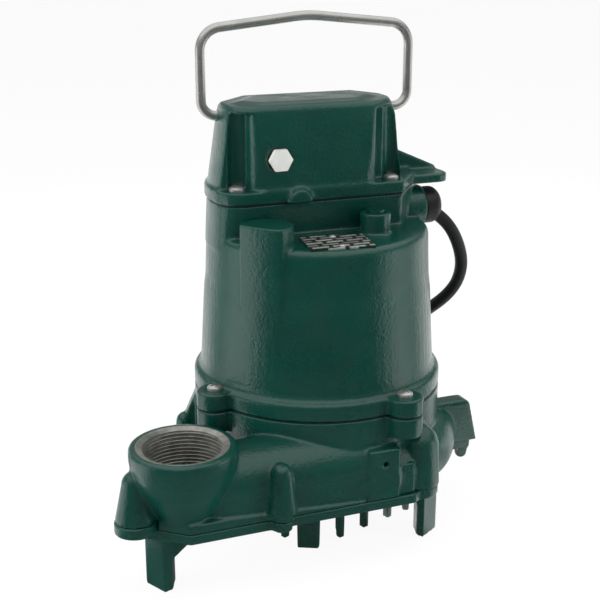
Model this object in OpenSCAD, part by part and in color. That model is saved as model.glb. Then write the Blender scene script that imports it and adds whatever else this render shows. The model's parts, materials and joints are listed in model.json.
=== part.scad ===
// Submersible sump pump: cast casing and base, oil-filled motor above, wire bail and power cord.
// Millimetres, +Z up. The origin is on the floor under the middle of the pump's bounding box.
// The pump itself is laid out from the shaft axis, which stands at (shaft_x, shaft_y).

/* [Stance] */
// Height of the legs and of the strainer posts
leg_h = 32; // [27:1:37]
// Thickness of the base plate
plate_t = 6; // [5:1:9]
// Height of the volute casing, up to the joint under the motor housing
casing_h = 48.6; // [47:0.2:54]
// Height of the motor housing, joint to joint
housing_h = 115; // [114:0.2:122]
// Height of the cover above its joint
cover_h = 54.8; // [52:0.2:60]
// Thickness of the flat gaskets in both joints
gasket_t = 0.8; // [0.5:0.1:1.6]

/* [Volute] */
// Largest outer radius of the round casing
casing_r = 80.2; // [79:0.2:84]
// Sideways offset of the round casing from the shaft
scroll_x = 7; // [5:0.5:9]
// How much the casing draws in at its foot
foot_draw = 4; // [2:0.5:5]
// Height of the widest point above the base plate
belly_h = 11; // [9:1:13]
// Height of the neck that stands free above the round casing
neck_free = 22; // [18:1:23]
// Wall of the casing at its foot
casing_wall = 6; // [5:0.5:8]
// Outer radius of the neck under the motor housing
neck_r = 74.8; // [73:0.2:77]
// Wall of the neck
neck_wall = 6; // [5:0.5:7]
// Distance of the discharge tube's axis in front of the shaft
tube_y = 58; // [56:0.5:60]
// Outer radius of the discharge tube
tube_r = 21; // [19:0.5:22]
// Wall of the discharge tube
tube_wall = 5.5; // [4.5:0.5:7]
// Diameter of the vent hole in the tube's front
vent_d = 3.2; // [2:0.2:5]
// Sideways place of the vent hole
vent_x = 10.5; // [8:0.5:13]

/* [Discharge] */
// Distance of the outlet to the left of the shaft
outlet_x = 103.6; // [100:0.5:110]
// Distance of the outlet in front of the shaft
outlet_y = 62.2; // [59:0.2:64]
// Outer radius of the outlet boss
outlet_r = 29.5; // [28:0.5:32]
// Height of the outlet's rim above the base plate
outlet_h = 46; // [44:1:52]
// Radius over the thread's crests, 1-1/2 inch pipe thread
thread_r = 22; // [21:0.1:22.5]
// Depth of the thread grooves
thread_depth = 1.6; // [1:0.1:2]
// Pitch of the thread, 11-1/2 to the inch
thread_pitch = 2.2; // [2:0.05:2.5]
// Number of thread grooves
thread_turns = 8; // [5:1:8]
// Radius of the lead-in at the mouth
mouth_r = 25.5; // [24.5:0.1:26.5]

/* [Base plate] */
// Radius of the suction eye
eye_r = 25; // [20:0.5:30]
// Distance of the plate's straight front edge from the shaft
plate_front = 80.2; // [79.5:0.1:82]
// Distance from the shaft to a row of strainer posts
cage_half = 43; // [41:0.5:45]
// Distance from one strainer post to the next
cage_pitch = 19.8; // [18:0.2:21]
// Width of a slim strainer post
post_w = 5; // [4:0.5:8]
// Width of a corner strainer post
corner_w = 14; // [11:0.5:15]
// Depth of a strainer post, outside to inside
post_t = 4.5; // [4:0.5:8]
// Side of the slope under a leg's root
gusset = 14; // [8:1:16]

/* [Screw bosses] */
// Root radius of a bullet-shaped boss
boss_r = 8.4; // [7.5:0.1:9.5]
// Top radius of a bullet-shaped boss
boss_top_r = 5.6; // [4.5:0.1:6.5]
// Radius of the plate's lug under a slim boss
lug_r = 5.8; // [5.2:0.1:7]
// Root radius of the boss beside the outlet
outer_boss_r = 11.4; // [9:0.1:12]
// Radius of the column over the front right leg
column_r = 12.5; // [11:0.5:13]

/* [Joint ring] */
// Distance of the screw circle outside the neck
bolt_out = 2.2; // [1.5:0.1:3]
// Turn of the screw circle
bolt_turn = 18.4; // [12:0.2:24]
// Radius of an ear
ear_r = 10.6; // [9.8:0.2:12]
// Depth of a casing ear
ear_h = 12; // [10:0.5:14]
// Height of the housing's joint flange
flange_h = 10.3; // [8:0.1:12]

/* [Motor housing] */
// Outer radius at the foot of the bell
bell_foot_r = 70.6; // [69.8:0.2:71.4]
// Outer radius under the shoulder line
bell_mid_r = 67.8; // [67.4:0.1:68.6]
// Outer radius at the shelf
bell_top_r = 65.8; // [65:0.1:66.2]
// Height of the shoulder line above the joint
shoulder_h = 60; // [50:1:64]
// Depth of the upper chamber, from the name plate's shelf up to the cover
chamber_h = 18.9; // [18:0.1:21]
// Thickness of the shelf
shelf_t = 5; // [4:0.5:6]
// Distance of the flat front wall from the shaft
front_y = 18.5; // [16:0.5:20]
// Right corner of the flat front wall
front_right = 45.4; // [44:0.2:48]
// Radius of the flanges at the cover's joint
joint_r = 66.2; // [65.6:0.1:67.5]
// Distance of the joint's flat front from the shaft
joint_front = 23; // [21:0.5:24]
// Thickness of the housing's lip under the cover
lip_t = 2; // [1:0.5:4]
// Wall of the upper chamber
chamber_wall = 5.5; // [4.5:0.5:7]
// Radius of the front left pillar
pillar_r = 15; // [14:0.5:16]
// Radius of the oil filler boss
filler_r = 8.9; // [8:0.1:9.5]
// Radius of the cord boss
cord_boss_r = 13; // [12.5:0.1:14]
// Reach of the cord boss from the shaft
cord_boss_x = 70.4; // [68:0.2:74]
// Height of the cord above the housing's shelf
cord_rise = 4; // [3:0.5:6]

/* [Name plate] */
// Width of the name plate
name_w = 37; // [30:0.5:40]
// Depth of the name plate
name_d = 28; // [24:0.5:30]
// Thickness of the name plate
name_t = 0.8; // [0.5:0.1:1.5]

/* [Cover] */
// Thickness of the cover's flange
cover_flange_t = 7; // [6:0.5:8]
// Wall of the cover
cover_wall = 5; // [4:0.5:6]
// Radius of the cover's side at its foot
skirt_r = 65; // [63:0.5:65]
// Radius of the cover's side under the roof
crown_r = 57.4; // [56:0.2:59]
// Right side of the cover at its foot
box_right = 47; // [46:0.5:50]
// How much the right side draws in
right_draft = 0.4; // [0.2:0.2:3]
// Rear side of the cover at its foot
box_back = 47; // [44:0.5:50]
// How much the front and the rear draw in
box_draft = 3; // [1:0.5:4]
// Corner radius at the cover's right front, at its foot
box_corner = 8; // [6:0.5:10]
// Corner radius at the cover's right front, under the roof
crown_corner = 24; // [18:1:26]
// Height of the raised panel on top
panel_t = 1.4; // [1:0.2:2]
// Size of the plug across its flats
plug_af = 11.9; // [11.4:0.1:13]
// Sideways place of the plug, left of the shaft
plug_x = 31.5; // [28:0.5:34]
// Height of the plug above the cover's joint
plug_h = 24.3; // [20:0.1:28]
// Radius of the thumb lug on the front
thumb_r = 9; // [7:0.5:10]

/* [Cord guard] */
// Reach of the cord guard from the shaft
guard_x = 86; // [82:0.5:90]
// Width of the cord guard
guard_w = 22; // [18:0.5:26]
// Thickness of the cord guard
guard_t = 5.4; // [4:0.2:6.4]
// Height of the guard's rib on the cover
guard_rib_h = 24.8; // [16:0.2:26]

/* [Handle] */
// Diameter of the handle's wire
wire_d = 5.6; // [4.6:0.2:6]
// Left leg of the handle
bail_left = 66.8; // [66:0.2:70]
// Right leg of the handle
bail_right = 62; // [60:0.2:66]
// Depth of the handle's pivots behind the shaft
bail_y = 10; // [8:0.5:12]
// Height of the pivots above the cover's joint
pivot_h = 45.8; // [44:0.2:46.6]
// Height of the handle's top above its pivots
bail_h = 56.8; // [52:0.2:80]
// Slope of the handle's top towards its middle, in degrees
bow_tilt = 6; // [5:1:12]
// Bend radius in the middle of the handle's top
bow_r = 80; // [50:5:120]
// Bend radius of the handle at the pivots
low_bend_r = 9; // [7:0.5:12]
// Bend radius of the handle's upper corners
top_bend_r = 13; // [10:0.5:20]
// Length of the left wire end inside the cover
left_grip = 7; // [6:0.5:8]
// Length of the right wire end, past its bend
right_grip = 14; // [12:0.5:16]

/* [Motor] */
// Outer radius of the stator
stator_r = 60; // [59:0.2:60.6]
// Room between the stator's stack and the shelf's top
end_room = 23.5; // [23:0.5:30]
// Height of the stack above the joint
stack_z = 24.6; // [23:0.2:28]
// Radius of the rotor
rotor_r = 32.6; // [30:0.1:34]
// Air gap between rotor and stator
air_gap = 0.5; // [0.35:0.05:0.8]
// Height of a cage ring on the rotor
cage_ring_h = 5; // [3:0.5:5.5]
// Number of bars in the rotor cage
rotor_bars = 24; // [16:1:28]

/* [Shaft and bearings] */
// Diameter of the shaft in its bearings
shaft_d = 12; // [10:0.5:13]
// Diameter of the shaft through the rotor
rotor_seat_d = 17; // [15:0.5:19]
// Radial running clearance in the bearings
shaft_fit = 0.04; // [0.02:0.01:0.08]
// Wall of a bearing bush
bush_wall = 3; // [2:0.25:4]
// Length of the lower bearing
lower_bush_l = 16; // [12:0.5:17]
// Length of the upper bearing
upper_bush_l = 12; // [9:0.5:12]

/* [Impeller] */
// Distance from the impeller to the outside of the casing
impeller_room = 20.2; // [19.8:0.2:26]
// Thickness of the impeller's shroud
shroud_t = 4; // [3:0.5:5]
// Height of the vanes
vane_h = 15; // [10:0.5:16]
// Number of vanes
vanes = 8; // [5:1:10]
// Thickness of a vane
vane_t = 3.2; // [2.4:0.2:4.5]
// Radius of the hub
hub_r = 12; // [10:0.5:13]

/* [Screws] */
// Diameter of the case screws
screw_d = 5; // [4:0.5:6]
// Diameter of a case screw's head
screw_head_d = 9; // [8:0.5:10]
// Height of a case screw's head
screw_head_h = 3; // [2:0.2:4]

/* [Cord] */
// Diameter of the power cord
cord_d = 8; // [7:0.1:9]
// Coil radius at the middle of its turns
coil_r = 48; // [42:1:48]
// Cord diameters side by side in the coil
coil_wide = 3; // [2:1:3]
// Layers of cord in the coil
coil_layers = 3; // [2:1:4]

/* [Hidden] */
$fn = 96;

// Colours of the real materials
enamel = "#1f5c4c";
bare_iron = "#8d8a84";
stainless = "#c9cac8";
steel = "#8f9296";
copper = "#b4683a";
aluminium = "#b8bcc0";
bronze = "#a9824a";
black_rubber = "#1b1c1d";
white_nylon = "#eeeeea";
plastic = "#2c2f33";
ceramic = "#e2ded4";
carbon = "#2a2a2c";
brass = "#c2a14e";

// Levels, counted up from the floor
plate_z = leg_h;
casing_z = plate_z + plate_t;
joint_z = casing_z + casing_h;
bell_z = joint_z + gasket_t;
cover_joint_z = bell_z + housing_h;
shelf_z = cover_joint_z - chamber_h;
cover_z = cover_joint_z + gasket_t;
ledge_z = cover_z + cover_flange_t;
roof_z = cover_z + cover_h;
belly_z = casing_z + belly_h;
shoulder_z = joint_z - neck_free;
tube_z = casing_z + tube_r - 2;
outlet_z = casing_z + outlet_h;
pivot_z = cover_z + pivot_h;
cord_z = shelf_z + cord_rise;
stack_foot_z = bell_z + stack_z;
stack_top_z = shelf_z - end_room;
stack_h = stack_top_z - stack_foot_z;

// Seats between the castings
slip = 0.2;
seat_t = 5;
chamber_r = casing_r - foot_draw - casing_wall + 1;
seat_r = neck_r - neck_wall;
throat_r = seat_r - 6;
seat_z = joint_z - 10.6;
chamber_roof_z = seat_z - seat_t;
chamber_top_z = shoulder_z - 3.6;
spigot_h = 6.6;
spigot_r = seat_r - 2;
tube_bore = tube_r - tube_wall;

// Shaft line, from the impeller up
impeller_r = casing_r - impeller_room;
impeller_fit = 2.4;
shaft_r = shaft_d / 2;
rotor_seat_r = rotor_seat_d / 2;
bush_r = shaft_r + bush_wall;
hub_top_z = chamber_roof_z - 2;
hub_foot_z = hub_top_z - shroud_t - vane_h * 0.6;
washer_t = 1.5;
nut_h = 7;
nut_r = 9.8;
seal_pocket_r = 16;
seat_ring_r = 13;
seat_ring_t = 4;
seat_ring_z = seat_z + 2;
lower_bush_z = seat_ring_z + seat_ring_t + 2;
lower_bush_top = lower_bush_z + lower_bush_l;
bush_flange_t = 1.2;
shaft_shoulder_z = lower_bush_top + bush_flange_t + 0.3 + washer_t;
upper_bush_foot = shelf_z - shelf_t - upper_bush_l + 2;
shaft_top_shoulder_z = upper_bush_foot - bush_flange_t - 0.3 - washer_t;
shaft_end_z = upper_bush_foot + upper_bush_l - 2;

// Places of the base plate's screws, from the shaft: x, y and how far the outer one stands up
outer_rise = 6;
outer_spot = [-131, -61.5, outer_rise];
front_spot = [-53, -80];
rear_left_spot = [-79, 20];
rear_spot = [-18, casing_r + 1];
right_spot = [86, -18];
pin_spot = [93.7, -18];
column_spot = [38, -66];
slim_spots = [front_spot, rear_left_spot, rear_spot];
screw_spots = concat([outer_spot, right_spot], slim_spots);
screw_sink = 3.2;
head_room = 4;
pin_r = 4.9;
pin_drop = 8.4;
block_x = 100.6;
bolt_r = neck_r + bolt_out;

// The shaft stands off the middle of the bounding box
outer_lug_r = outer_boss_r + 0.5;
reach_left = max(outlet_x + outlet_r, outer_lug_r - outer_spot[0]);
reach_right = max(block_x, guard_x, scroll_x + casing_r);
reach_front = outlet_y + outlet_r;
reach_back = rear_spot[1] + boss_r;
shaft_x = (reach_left - reach_right) / 2;
shaft_y = (reach_front - reach_back) / 2;

module at_shaft() {
    translate([shaft_x, shaft_y, 0]) children();
}

// Points along an arc or part of an ellipse
function arc(c, rx, ry, from, to, steps = 8) = [
    for (i = [0:steps])
        let (a = from + (to - from) * i / steps)
        [c[0] + rx * cos(a), c[1] + ry * sin(a)]
];

function ear_spots() = [
    for (k = [0:3])
        [bolt_r * cos(bolt_turn + 90 * k), bolt_r * sin(bolt_turn + 90 * k)]
];

module at_spots(spots, z = 0) {
    for (s = spots) translate([s[0], s[1], z + (len(s) > 2 ? s[2] : 0)]) children();
}

// Bullet-shaped boss: a cone with a domed top, standing on z = 0
module bullet(root_r, top_r, h) {
    rotate_extrude()
        polygon(concat([[0, 0], [root_r, 0]], arc([0, h - top_r], top_r, top_r, 0, 90)));
}

// ---- Volute casing ----------------------------------------------------------------------

module casing_wall_solid() {
    translate([scroll_x, 0, 0]) rotate_extrude() polygon(concat(
        [[0, casing_z]],
        arc([casing_r - foot_draw, belly_z], foot_draw, belly_h, -90, 0),
        arc([neck_r - 9, belly_z], casing_r - neck_r + 9, shoulder_z - belly_z, 8, 90),
        [[0, shoulder_z]]
    ));
    translate([0, 0, casing_z]) cylinder(r1 = neck_r - 3, r2 = neck_r, h = tube_z - casing_z);
    translate([0, 0, tube_z]) cylinder(r = neck_r, h = joint_z - tube_z);
}

tube_end_x = outlet_x - 21.6;

module discharge_tube() {
    translate([0, -tube_y, tube_z]) rotate([0, -90, 0]) cylinder(r = tube_r, h = tube_end_x);
    translate([-tube_end_x, -tube_y, tube_z]) sphere(r = tube_r);
    translate([-tube_end_x, -tube_y, casing_z]) cylinder(r = tube_r - 0.9, h = tube_z - casing_z);
    translate([-tube_end_x, -tube_y - tube_r + 0.9, casing_z])
        cube([tube_end_x + 30, tube_r, tube_z - casing_z]);
}

// Cup that widens from its foot to the rim
module outlet_boss() {
    lip = 1.2;
    foot_r = 12;
    cup_h = outlet_h * 0.85;
    translate([-outlet_x, -outlet_y, casing_z]) rotate_extrude() polygon([
        [0, 0], [foot_r, 0], [foot_r + (outlet_r - foot_r) * 0.54, cup_h * 0.42],
        [outlet_r - 3.5, cup_h * 0.63], [outlet_r - 0.9, cup_h * 0.82], [outlet_r, cup_h],
        [outlet_r, outlet_h - lip], [outlet_r - lip, outlet_h], [0, outlet_h]
    ]);
}

module thread_cut() {
    thread_top = outlet_z - (mouth_r - thread_r) * 0.36;
    translate([-outlet_x, -outlet_y, 0]) {
        rotate_extrude() polygon(concat(
            [[0, outlet_z + 1], [mouth_r, outlet_z + 1], [mouth_r, outlet_z],
             [thread_r, thread_top]],
            [for (i = [0:thread_turns - 1]) each [
                [thread_r, thread_top - 0.5 - i * thread_pitch],
                [thread_r + thread_depth, thread_top - 1.1 - i * thread_pitch],
                [thread_r, thread_top - 1.7 - i * thread_pitch]
            ]],
            [[thread_r, thread_top - 0.5 - thread_turns * thread_pitch],
             [thread_r - 1.5, thread_top - 2 - thread_turns * thread_pitch],
             [thread_r - 8, tube_z - 3], [thread_r - 14, tube_z - 7], [0, tube_z - 9]]
        ));
    }
}

// Lug at the right of the casing, over its screw
module side_block() {
    block_h = 28.4;
    block_w = 12;
    front = 8;
    lean = 5.4;
    edge = 4.5;
    root = scroll_x + casing_r - 30;
    translate([0, right_spot[1] + block_w - front, casing_z]) rotate([90, 0, 0])
        linear_extrude(block_w) polygon(concat(
            [[root, 0], [block_x, 0], [block_x - lean, block_h - edge]],
            arc([block_x - lean - edge, block_h - edge], edge, edge, 0, 90, 4),
            [[root, block_h]]
        ));
}

// Foot of the casing round the outlet, as high as its rise at the left and running out to the right
module outlet_foot() {
    rise = 6;
    run_out = 10;
    intersection() {
        translate([0, 0, casing_z - 1]) linear_extrude(rise + 1) plate_front_outline();
        translate([0, 0, casing_z]) rotate([90, 0, 0]) linear_extrude(plate_front + 10) polygon([
            [-outlet_x - 2 * outlet_r, -1], [-outlet_x - 2 * outlet_r, rise + 1],
            [-outlet_x, rise + 1], [run_out, 0], [run_out, -1]
        ]);
    }
}

module vent_pad() {
    pad_l = 19.5;
    pad_h = 31;
    translate([vent_x - 0.8 - pad_l / 2, -tube_y - tube_r - 1.2, casing_z])
        cube([pad_l, tube_r, pad_h]);
}

// Shoulder that slopes from the neck down to the rear left boss
module rear_shoulder() {
    shoulder_w = 9;
    reach = norm(rear_left_spot) + 2;
    root = neck_r - 8;
    foot_z = casing_z + base_screw_grip + 3;
    boss_z = casing_z + 24;
    head_z = joint_z - 3;
    rotate([0, 0, atan2(rear_left_spot[1], rear_left_spot[0])])
        translate([0, shoulder_w / 2, 0]) rotate([90, 0, 0]) linear_extrude(shoulder_w)
            polygon([[root, foot_z], [reach, foot_z], [reach, boss_z],
                     [neck_r - 1, head_z], [root, head_z]]);
}

module volute_casing() {
    color(enamel) at_shaft() difference() {
        union() {
            casing_wall_solid();
            discharge_tube();
            outlet_boss();
            side_block();
            vent_pad();
            at_spots(ear_spots(), joint_z - ear_h) cylinder(r = ear_r, h = ear_h);
            at_spots([front_spot], casing_z + 4) bullet(boss_r, boss_top_r, 30);
            at_spots(slim_spots, casing_z) cylinder(r = lug_r, h = 20);
            at_spots([rear_left_spot, rear_spot], casing_z) bullet(boss_r, boss_top_r, 29);
            at_spots([outer_spot], casing_z) bullet(outer_boss_r, outer_boss_r - 4.6, 28.6);
            at_spots([column_spot], casing_z) bullet(column_r, column_r - 1, 36.6);
            rear_shoulder();
            outlet_foot();
        }
        // flat underside, and room for the plate's raised lug
        translate([-200, -200, casing_z - 20]) cube([400, 400, 20]);
        translate([outer_spot[0], outer_spot[1], casing_z - 1])
            cylinder(r = outer_lug_r + 0.3, h = outer_rise + 1);
        // chamber, impeller's room, throat and the seal plate's seat
        translate([scroll_x, 0, 0]) rotate_extrude() polygon(concat(
            [[0, casing_z - 1], [chamber_r, casing_z - 1]],
            arc([chamber_r - 12, chamber_top_z - 11], 12, 11, 0, 90),
            [[0, chamber_top_z]]
        ));
        translate([0, 0, casing_z - 1])
            cylinder(r = impeller_r + impeller_fit, h = chamber_roof_z - casing_z + 1);
        translate([0, 0, chamber_roof_z - 1]) cylinder(r = throat_r, h = casing_h);
        translate([0, 0, seat_z]) cylinder(r = seat_r, h = casing_h);
        // discharge passage
        translate([0, -tube_y, tube_z]) rotate([0, -90, 0])
            cylinder(r = tube_bore, h = tube_end_x + 10);
        translate([-tube_end_x - 10, -tube_y, tube_z]) sphere(r = tube_bore);
        thread_cut();
        translate([vent_x, -tube_y, tube_z + 2.8]) rotate([90, 0, 0])
            cylinder(d = vent_d, h = tube_r + 5, $fn = 32);
        at_spots(ear_spots(), joint_z - screw_grip) cylinder(d = screw_d, h = casing_h);
        at_spots(screw_spots, casing_z - 1) cylinder(d = screw_d, h = base_screw_grip + 1.5);
    }
}

// ---- Base plate -------------------------------------------------------------------------

screw_grip = 10;
base_screw_grip = 14;
left_foot = [[-118.3, -69.5], [-113, -67.5], [-109, -58], [-119, -50], [-125.4, -54.8]];
right_foot = [[42.5, -66.2], [55.6, -58.1], [54, -49], [43, -52], [40.3, -61.9]];
rear_y = casing_r - 16.2;
rear_foot = [[-8, rear_y], [8, rear_y], [11, rear_y + 7], [0, rear_y + 13], [-11, rear_y + 7]];
cage_shift = 2.1;

module leg(outline) {
    linear_extrude(leg_h + 1) polygon(outline);
}

// Sloping root beside a leg, from the plate down along the leg's side
module leg_gusset(at, turn, w) {
    translate([at[0], at[1], leg_h]) rotate([0, 0, turn]) rotate([90, 0, 0])
        translate([0, 0, -w / 2]) linear_extrude(w)
            polygon([[-3, 1], [gusset, 1], [gusset, 0], [0, -gusset], [-3, -gusset]]);
}

module strainer_post(w) {
    root = 3;
    rotate([90, 0, 0]) translate([0, 0, -post_t / 2]) linear_extrude(post_t) polygon([
        [-w / 2 + 0.5, 0], [w / 2 - 0.5, 0], [w / 2, leg_h - 2 * root],
        [w / 2 + root, leg_h], [w / 2 + root, leg_h + 1],
        [-w / 2 - root, leg_h + 1], [-w / 2 - root, leg_h], [-w / 2, leg_h - 2 * root]
    ]);
}

module strainer_cage() {
    for (side = [0:3]) rotate([0, 0, bolt_turn + 90 * side]) {
        for (k = [-1:1])
            translate([k * cage_pitch + cage_shift, -cage_half, 0]) strainer_post(post_w);
        translate([-cage_half + 2.6, -cage_half + 2.6, 0]) rotate([0, 0, -45])
            strainer_post(corner_w);
    }
}

// Outline of the plate's front part, under the discharge tube and the outlet
module plate_front_outline() {
    polygon([
        [left_foot[4][0] - 0.6, left_foot[0][1] + 5], left_foot[0], [-outlet_x - 2, -plate_front],
        [column_spot[0] - 8, -plate_front], [column_spot[0] + 8, column_spot[1]],
        [column_spot[0] + 2, -tube_y / 2], [-neck_r, 0], [-outlet_x, -tube_y + tube_r],
        [left_foot[4][0], left_foot[4][1] + lug_r + 4]
    ]);
}

module base_plate() {
    underside_draw = 7;
    color(enamel) at_shaft() difference() {
        union() {
            translate([scroll_x, 0, plate_z])
                cylinder(r1 = casing_r - foot_draw - underside_draw, r2 = casing_r - foot_draw,
                         h = plate_t);
            translate([0, 0, plate_z]) linear_extrude(plate_t) union() {
                plate_front_outline();
                translate(column_spot) circle(r = column_r - 0.6);
                for (s = slim_spots) translate(s) circle(r = lug_r);
                hull() {
                    translate(right_spot) circle(r = lug_r);
                    translate(pin_spot) circle(r = pin_r + 0.6);
                }
                for (s = [rear_left_spot, rear_spot, right_spot])
                    hull() {
                        translate(s * 0.985) circle(r = lug_r - 0.8, $fn = 32);
                        translate(s * 0.6) circle(r = lug_r - 0.8, $fn = 32);
                    }
            }
            translate([scroll_x, 0, casing_z - 1])
                cylinder(r = chamber_r - slip, h = 3.5);
            at_spots([outer_spot], plate_z - 0.8) cylinder(r = outer_lug_r, h = plate_t + 0.8);
            leg(left_foot);
            leg(right_foot);
            leg(rear_foot);
            leg_gusset([-111, -62], -14, 9);
            leg_gusset([43, -57], 180, 9);
            translate([pin_spot[0], pin_spot[1], plate_z + 1]) mirror([0, 0, 1])
                bullet(pin_r, pin_r - 1, pin_drop + 1);
            strainer_cage();
        }
        translate([0, 0, plate_z - 1]) cylinder(r = eye_r, h = plate_t + 5);
        translate([0, 0, plate_z - 1])
            cylinder(r1 = eye_r + 5, r2 = eye_r - 1, h = 6);
        translate([scroll_x, 0, casing_z]) difference() {
            cylinder(r = chamber_r - slip - 4, h = 4);
            translate([-scroll_x, 0, -1]) cylinder(r = eye_r + 4, h = 6);
        }
        at_spots(screw_spots, plate_z - 1)
            cylinder(d = screw_d + 0.6, h = plate_t + 5);
        at_spots(screw_spots, plate_z - head_room)
            cylinder(d = screw_head_d + 0.4, h = head_room + screw_sink);
    }
}

// ---- Screws -----------------------------------------------------------------------------

// Pan-head screw pointing down, its head resting on z = 0, with a cross or a slot
module pan_screw(l, slots = 2) {
    head_r = screw_head_d / 2;
    difference() {
        union() {
            translate([0, 0, -l]) cylinder(d = screw_d, h = l + 0.5);
            rotate_extrude() polygon(concat(
                [[0, 0], [head_r, 0], [head_r, screw_head_h * 0.35]],
                arc([0, screw_head_h * 0.35], head_r, screw_head_h * 0.65, 20, 90, 5)
            ));
        }
        for (k = [1:slots]) rotate([0, 0, 90 * k])
            translate([-screw_head_d * 0.32, -0.6, screw_head_h * 0.45])
                cube([screw_head_d * 0.64, 1.2, screw_head_h]);
    }
}

module base_screws() {
    color(stainless) at_shaft() at_spots(screw_spots, plate_z + screw_sink)
        rotate([180, 0, 0]) pan_screw(plate_t - screw_sink + base_screw_grip, 1);
}

module housing_screws() {
    color(stainless) at_shaft() at_spots(ear_spots(), bell_z + flange_h)
        rotate([0, 0, 25]) pan_screw(flange_h + gasket_t + screw_grip - 0.5);
}

// ---- Seal plate and gaskets -------------------------------------------------------------

module seal_plate() {
    bore_r = shaft_r + 1;
    color(bare_iron) at_shaft() rotate_extrude() polygon([
        [bore_r, lower_bush_z], [bore_r, seat_ring_z + seat_ring_t],
        [seat_ring_r, seat_ring_z + seat_ring_t], [seat_ring_r, seat_ring_z],
        [seal_pocket_r, seat_ring_z], [seal_pocket_r, chamber_roof_z],
        [throat_r - slip, chamber_roof_z], [throat_r - slip, seat_z],
        [seat_r - slip, seat_z], [seat_r - slip, bell_z],
        [spigot_r - slip, bell_z], [spigot_r - slip, bell_z + spigot_h],
        [spigot_r - 6, bell_z + spigot_h], [spigot_r - 6, seat_z + 4],
        [bush_r + 9, seat_z + 4], [bush_r + 5, lower_bush_top],
        [bush_r, lower_bush_top], [bush_r, lower_bush_z]
    ]);
}

module casing_gasket() {
    color(black_rubber) at_shaft() translate([0, 0, joint_z]) difference() {
        union() {
            cylinder(r = neck_r - 0.4, h = gasket_t);
            at_spots(ear_spots()) cylinder(r = ear_r - 0.8, h = gasket_t);
        }
        translate([0, 0, -1]) cylinder(r = seat_r, h = 3);
        at_spots(ear_spots(), -1) cylinder(d = screw_d, h = 3);
    }
}

// ---- Motor housing ----------------------------------------------------------------------

pillar_spot = [-45.5, -38.2];
filler_spot = [23, -32];
cord_y = 6;
cap_spots = [[-54.5, -14], [41, -14], [-38, 42], [38, 42]];
cap_boss_r = 8;
lip_inset = 1.2;
filler_h = 12;
pillar_h = 12;

// Outline of the housing's top, the gasket and the cover's flange: a circle with a flat front
module joint_outline(r, front, corner, inset = 0) {
    intersection() {
        circle(r = r - inset);
        polygon(concat(
            arc([corner - r, corner - front], corner - inset, corner - inset, 180, 270, 6),
            [[front_right - inset * 0.6, inset - front],
             [front_right + 20 - inset, 26 - front], [front_right + 20 - inset, r],
             [inset - r, r]]
        ));
    }
}

module flange_outline(inset = 0) {
    joint_outline(joint_r, joint_front, 16, inset);
}

module bell_solid() {
    edge = 4;
    step = 1;
    fade = 8;
    rotate_extrude() polygon(concat(
        [[0, bell_z], [neck_r, bell_z], [neck_r, bell_z + flange_h - 1.5],
         [neck_r - 1, bell_z + flange_h], [bell_foot_r + 1, bell_z + flange_h + 0.6],
         [bell_foot_r, bell_z + flange_h + 4],
         [bell_mid_r, bell_z + shoulder_h], [bell_mid_r - step, bell_z + shoulder_h + fade]],
        arc([bell_top_r - edge, shelf_z - edge], edge, edge, 0, 90, 5),
        [[0, shelf_z]]
    ));
}

// Pillar whose outer face goes round with the bell and runs out where the bell gets wider
module pillar() {
    foot_z = bell_z + shoulder_h - 18;
    intersection() {
        at_spots([pillar_spot], foot_z) cylinder(r = pillar_r, h = shelf_z + pillar_h - foot_z);
        translate([0, 0, foot_z - 1]) cylinder(r = bell_mid_r + 0.6, h = housing_h);
    }
}

module motor_housing() {
    color(enamel) at_shaft() difference() {
        union() {
            bell_solid();
            hull() {
                translate([0, 0, shelf_z - 8]) linear_extrude(1)
                    joint_outline(bell_top_r + 0.6, front_y, 10);
                translate([0, 0, cover_joint_z - lip_t]) linear_extrude(lip_t)
                    flange_outline(lip_inset);
            }
            at_spots(ear_spots(), bell_z) cylinder(r = ear_r, h = flange_h);
            pillar();
            at_spots([filler_spot], shelf_z - 3) cylinder(r = filler_r, h = filler_h + 3);
            translate([0, cord_y, cord_z]) rotate([0, 90, 0])
                cylinder(r = cord_boss_r, h = cord_boss_x);
        }
        // spigot bore, stator bore and the space over the coils
        rotate_extrude() polygon([
            [0, bell_z - 1], [spigot_r, bell_z - 1], [spigot_r, bell_z + spigot_h + 1],
            [stator_r, bell_z + spigot_h + 5], [stator_r, stack_top_z],
            [stator_r - 2.5, stack_top_z], [stator_r - 2.5, shelf_z - shelf_t - 6],
            [stator_r - 8, shelf_z - shelf_t], [bush_r + 6, shelf_z - shelf_t],
            [bush_r + 6, upper_bush_foot], [bush_r, upper_bush_foot],
            [bush_r, shelf_z - shelf_t + 2], [0, shelf_z - shelf_t + 2]
        ]);
        // upper chamber, lead hole, cord hole and screw holes
        translate([0, 0, shelf_z]) linear_extrude(housing_h) chamber_outline();
        translate([lead_spot[0], lead_spot[1], shelf_z - shelf_t - 1])
            cylinder(r = lead_hole_r, h = shelf_t + 2);
        translate([bell_top_r - 22, cord_y, cord_z]) rotate([0, 90, 0])
            cylinder(r = gland_r, h = cord_boss_x);
        at_spots(ear_spots(), bell_z - 1) cylinder(d = screw_d + 0.6, h = flange_h + 2);
        at_spots(ear_spots(), bell_z + flange_h) cylinder(d = screw_head_d + 1, h = 8);
        at_spots(cap_spots, cover_joint_z - screw_grip) cylinder(d = screw_d, h = 20);
        at_spots([filler_spot], shelf_z - shelf_t - 1)
            cylinder(r = filler_plug_r, h = 30);
    }
}

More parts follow.
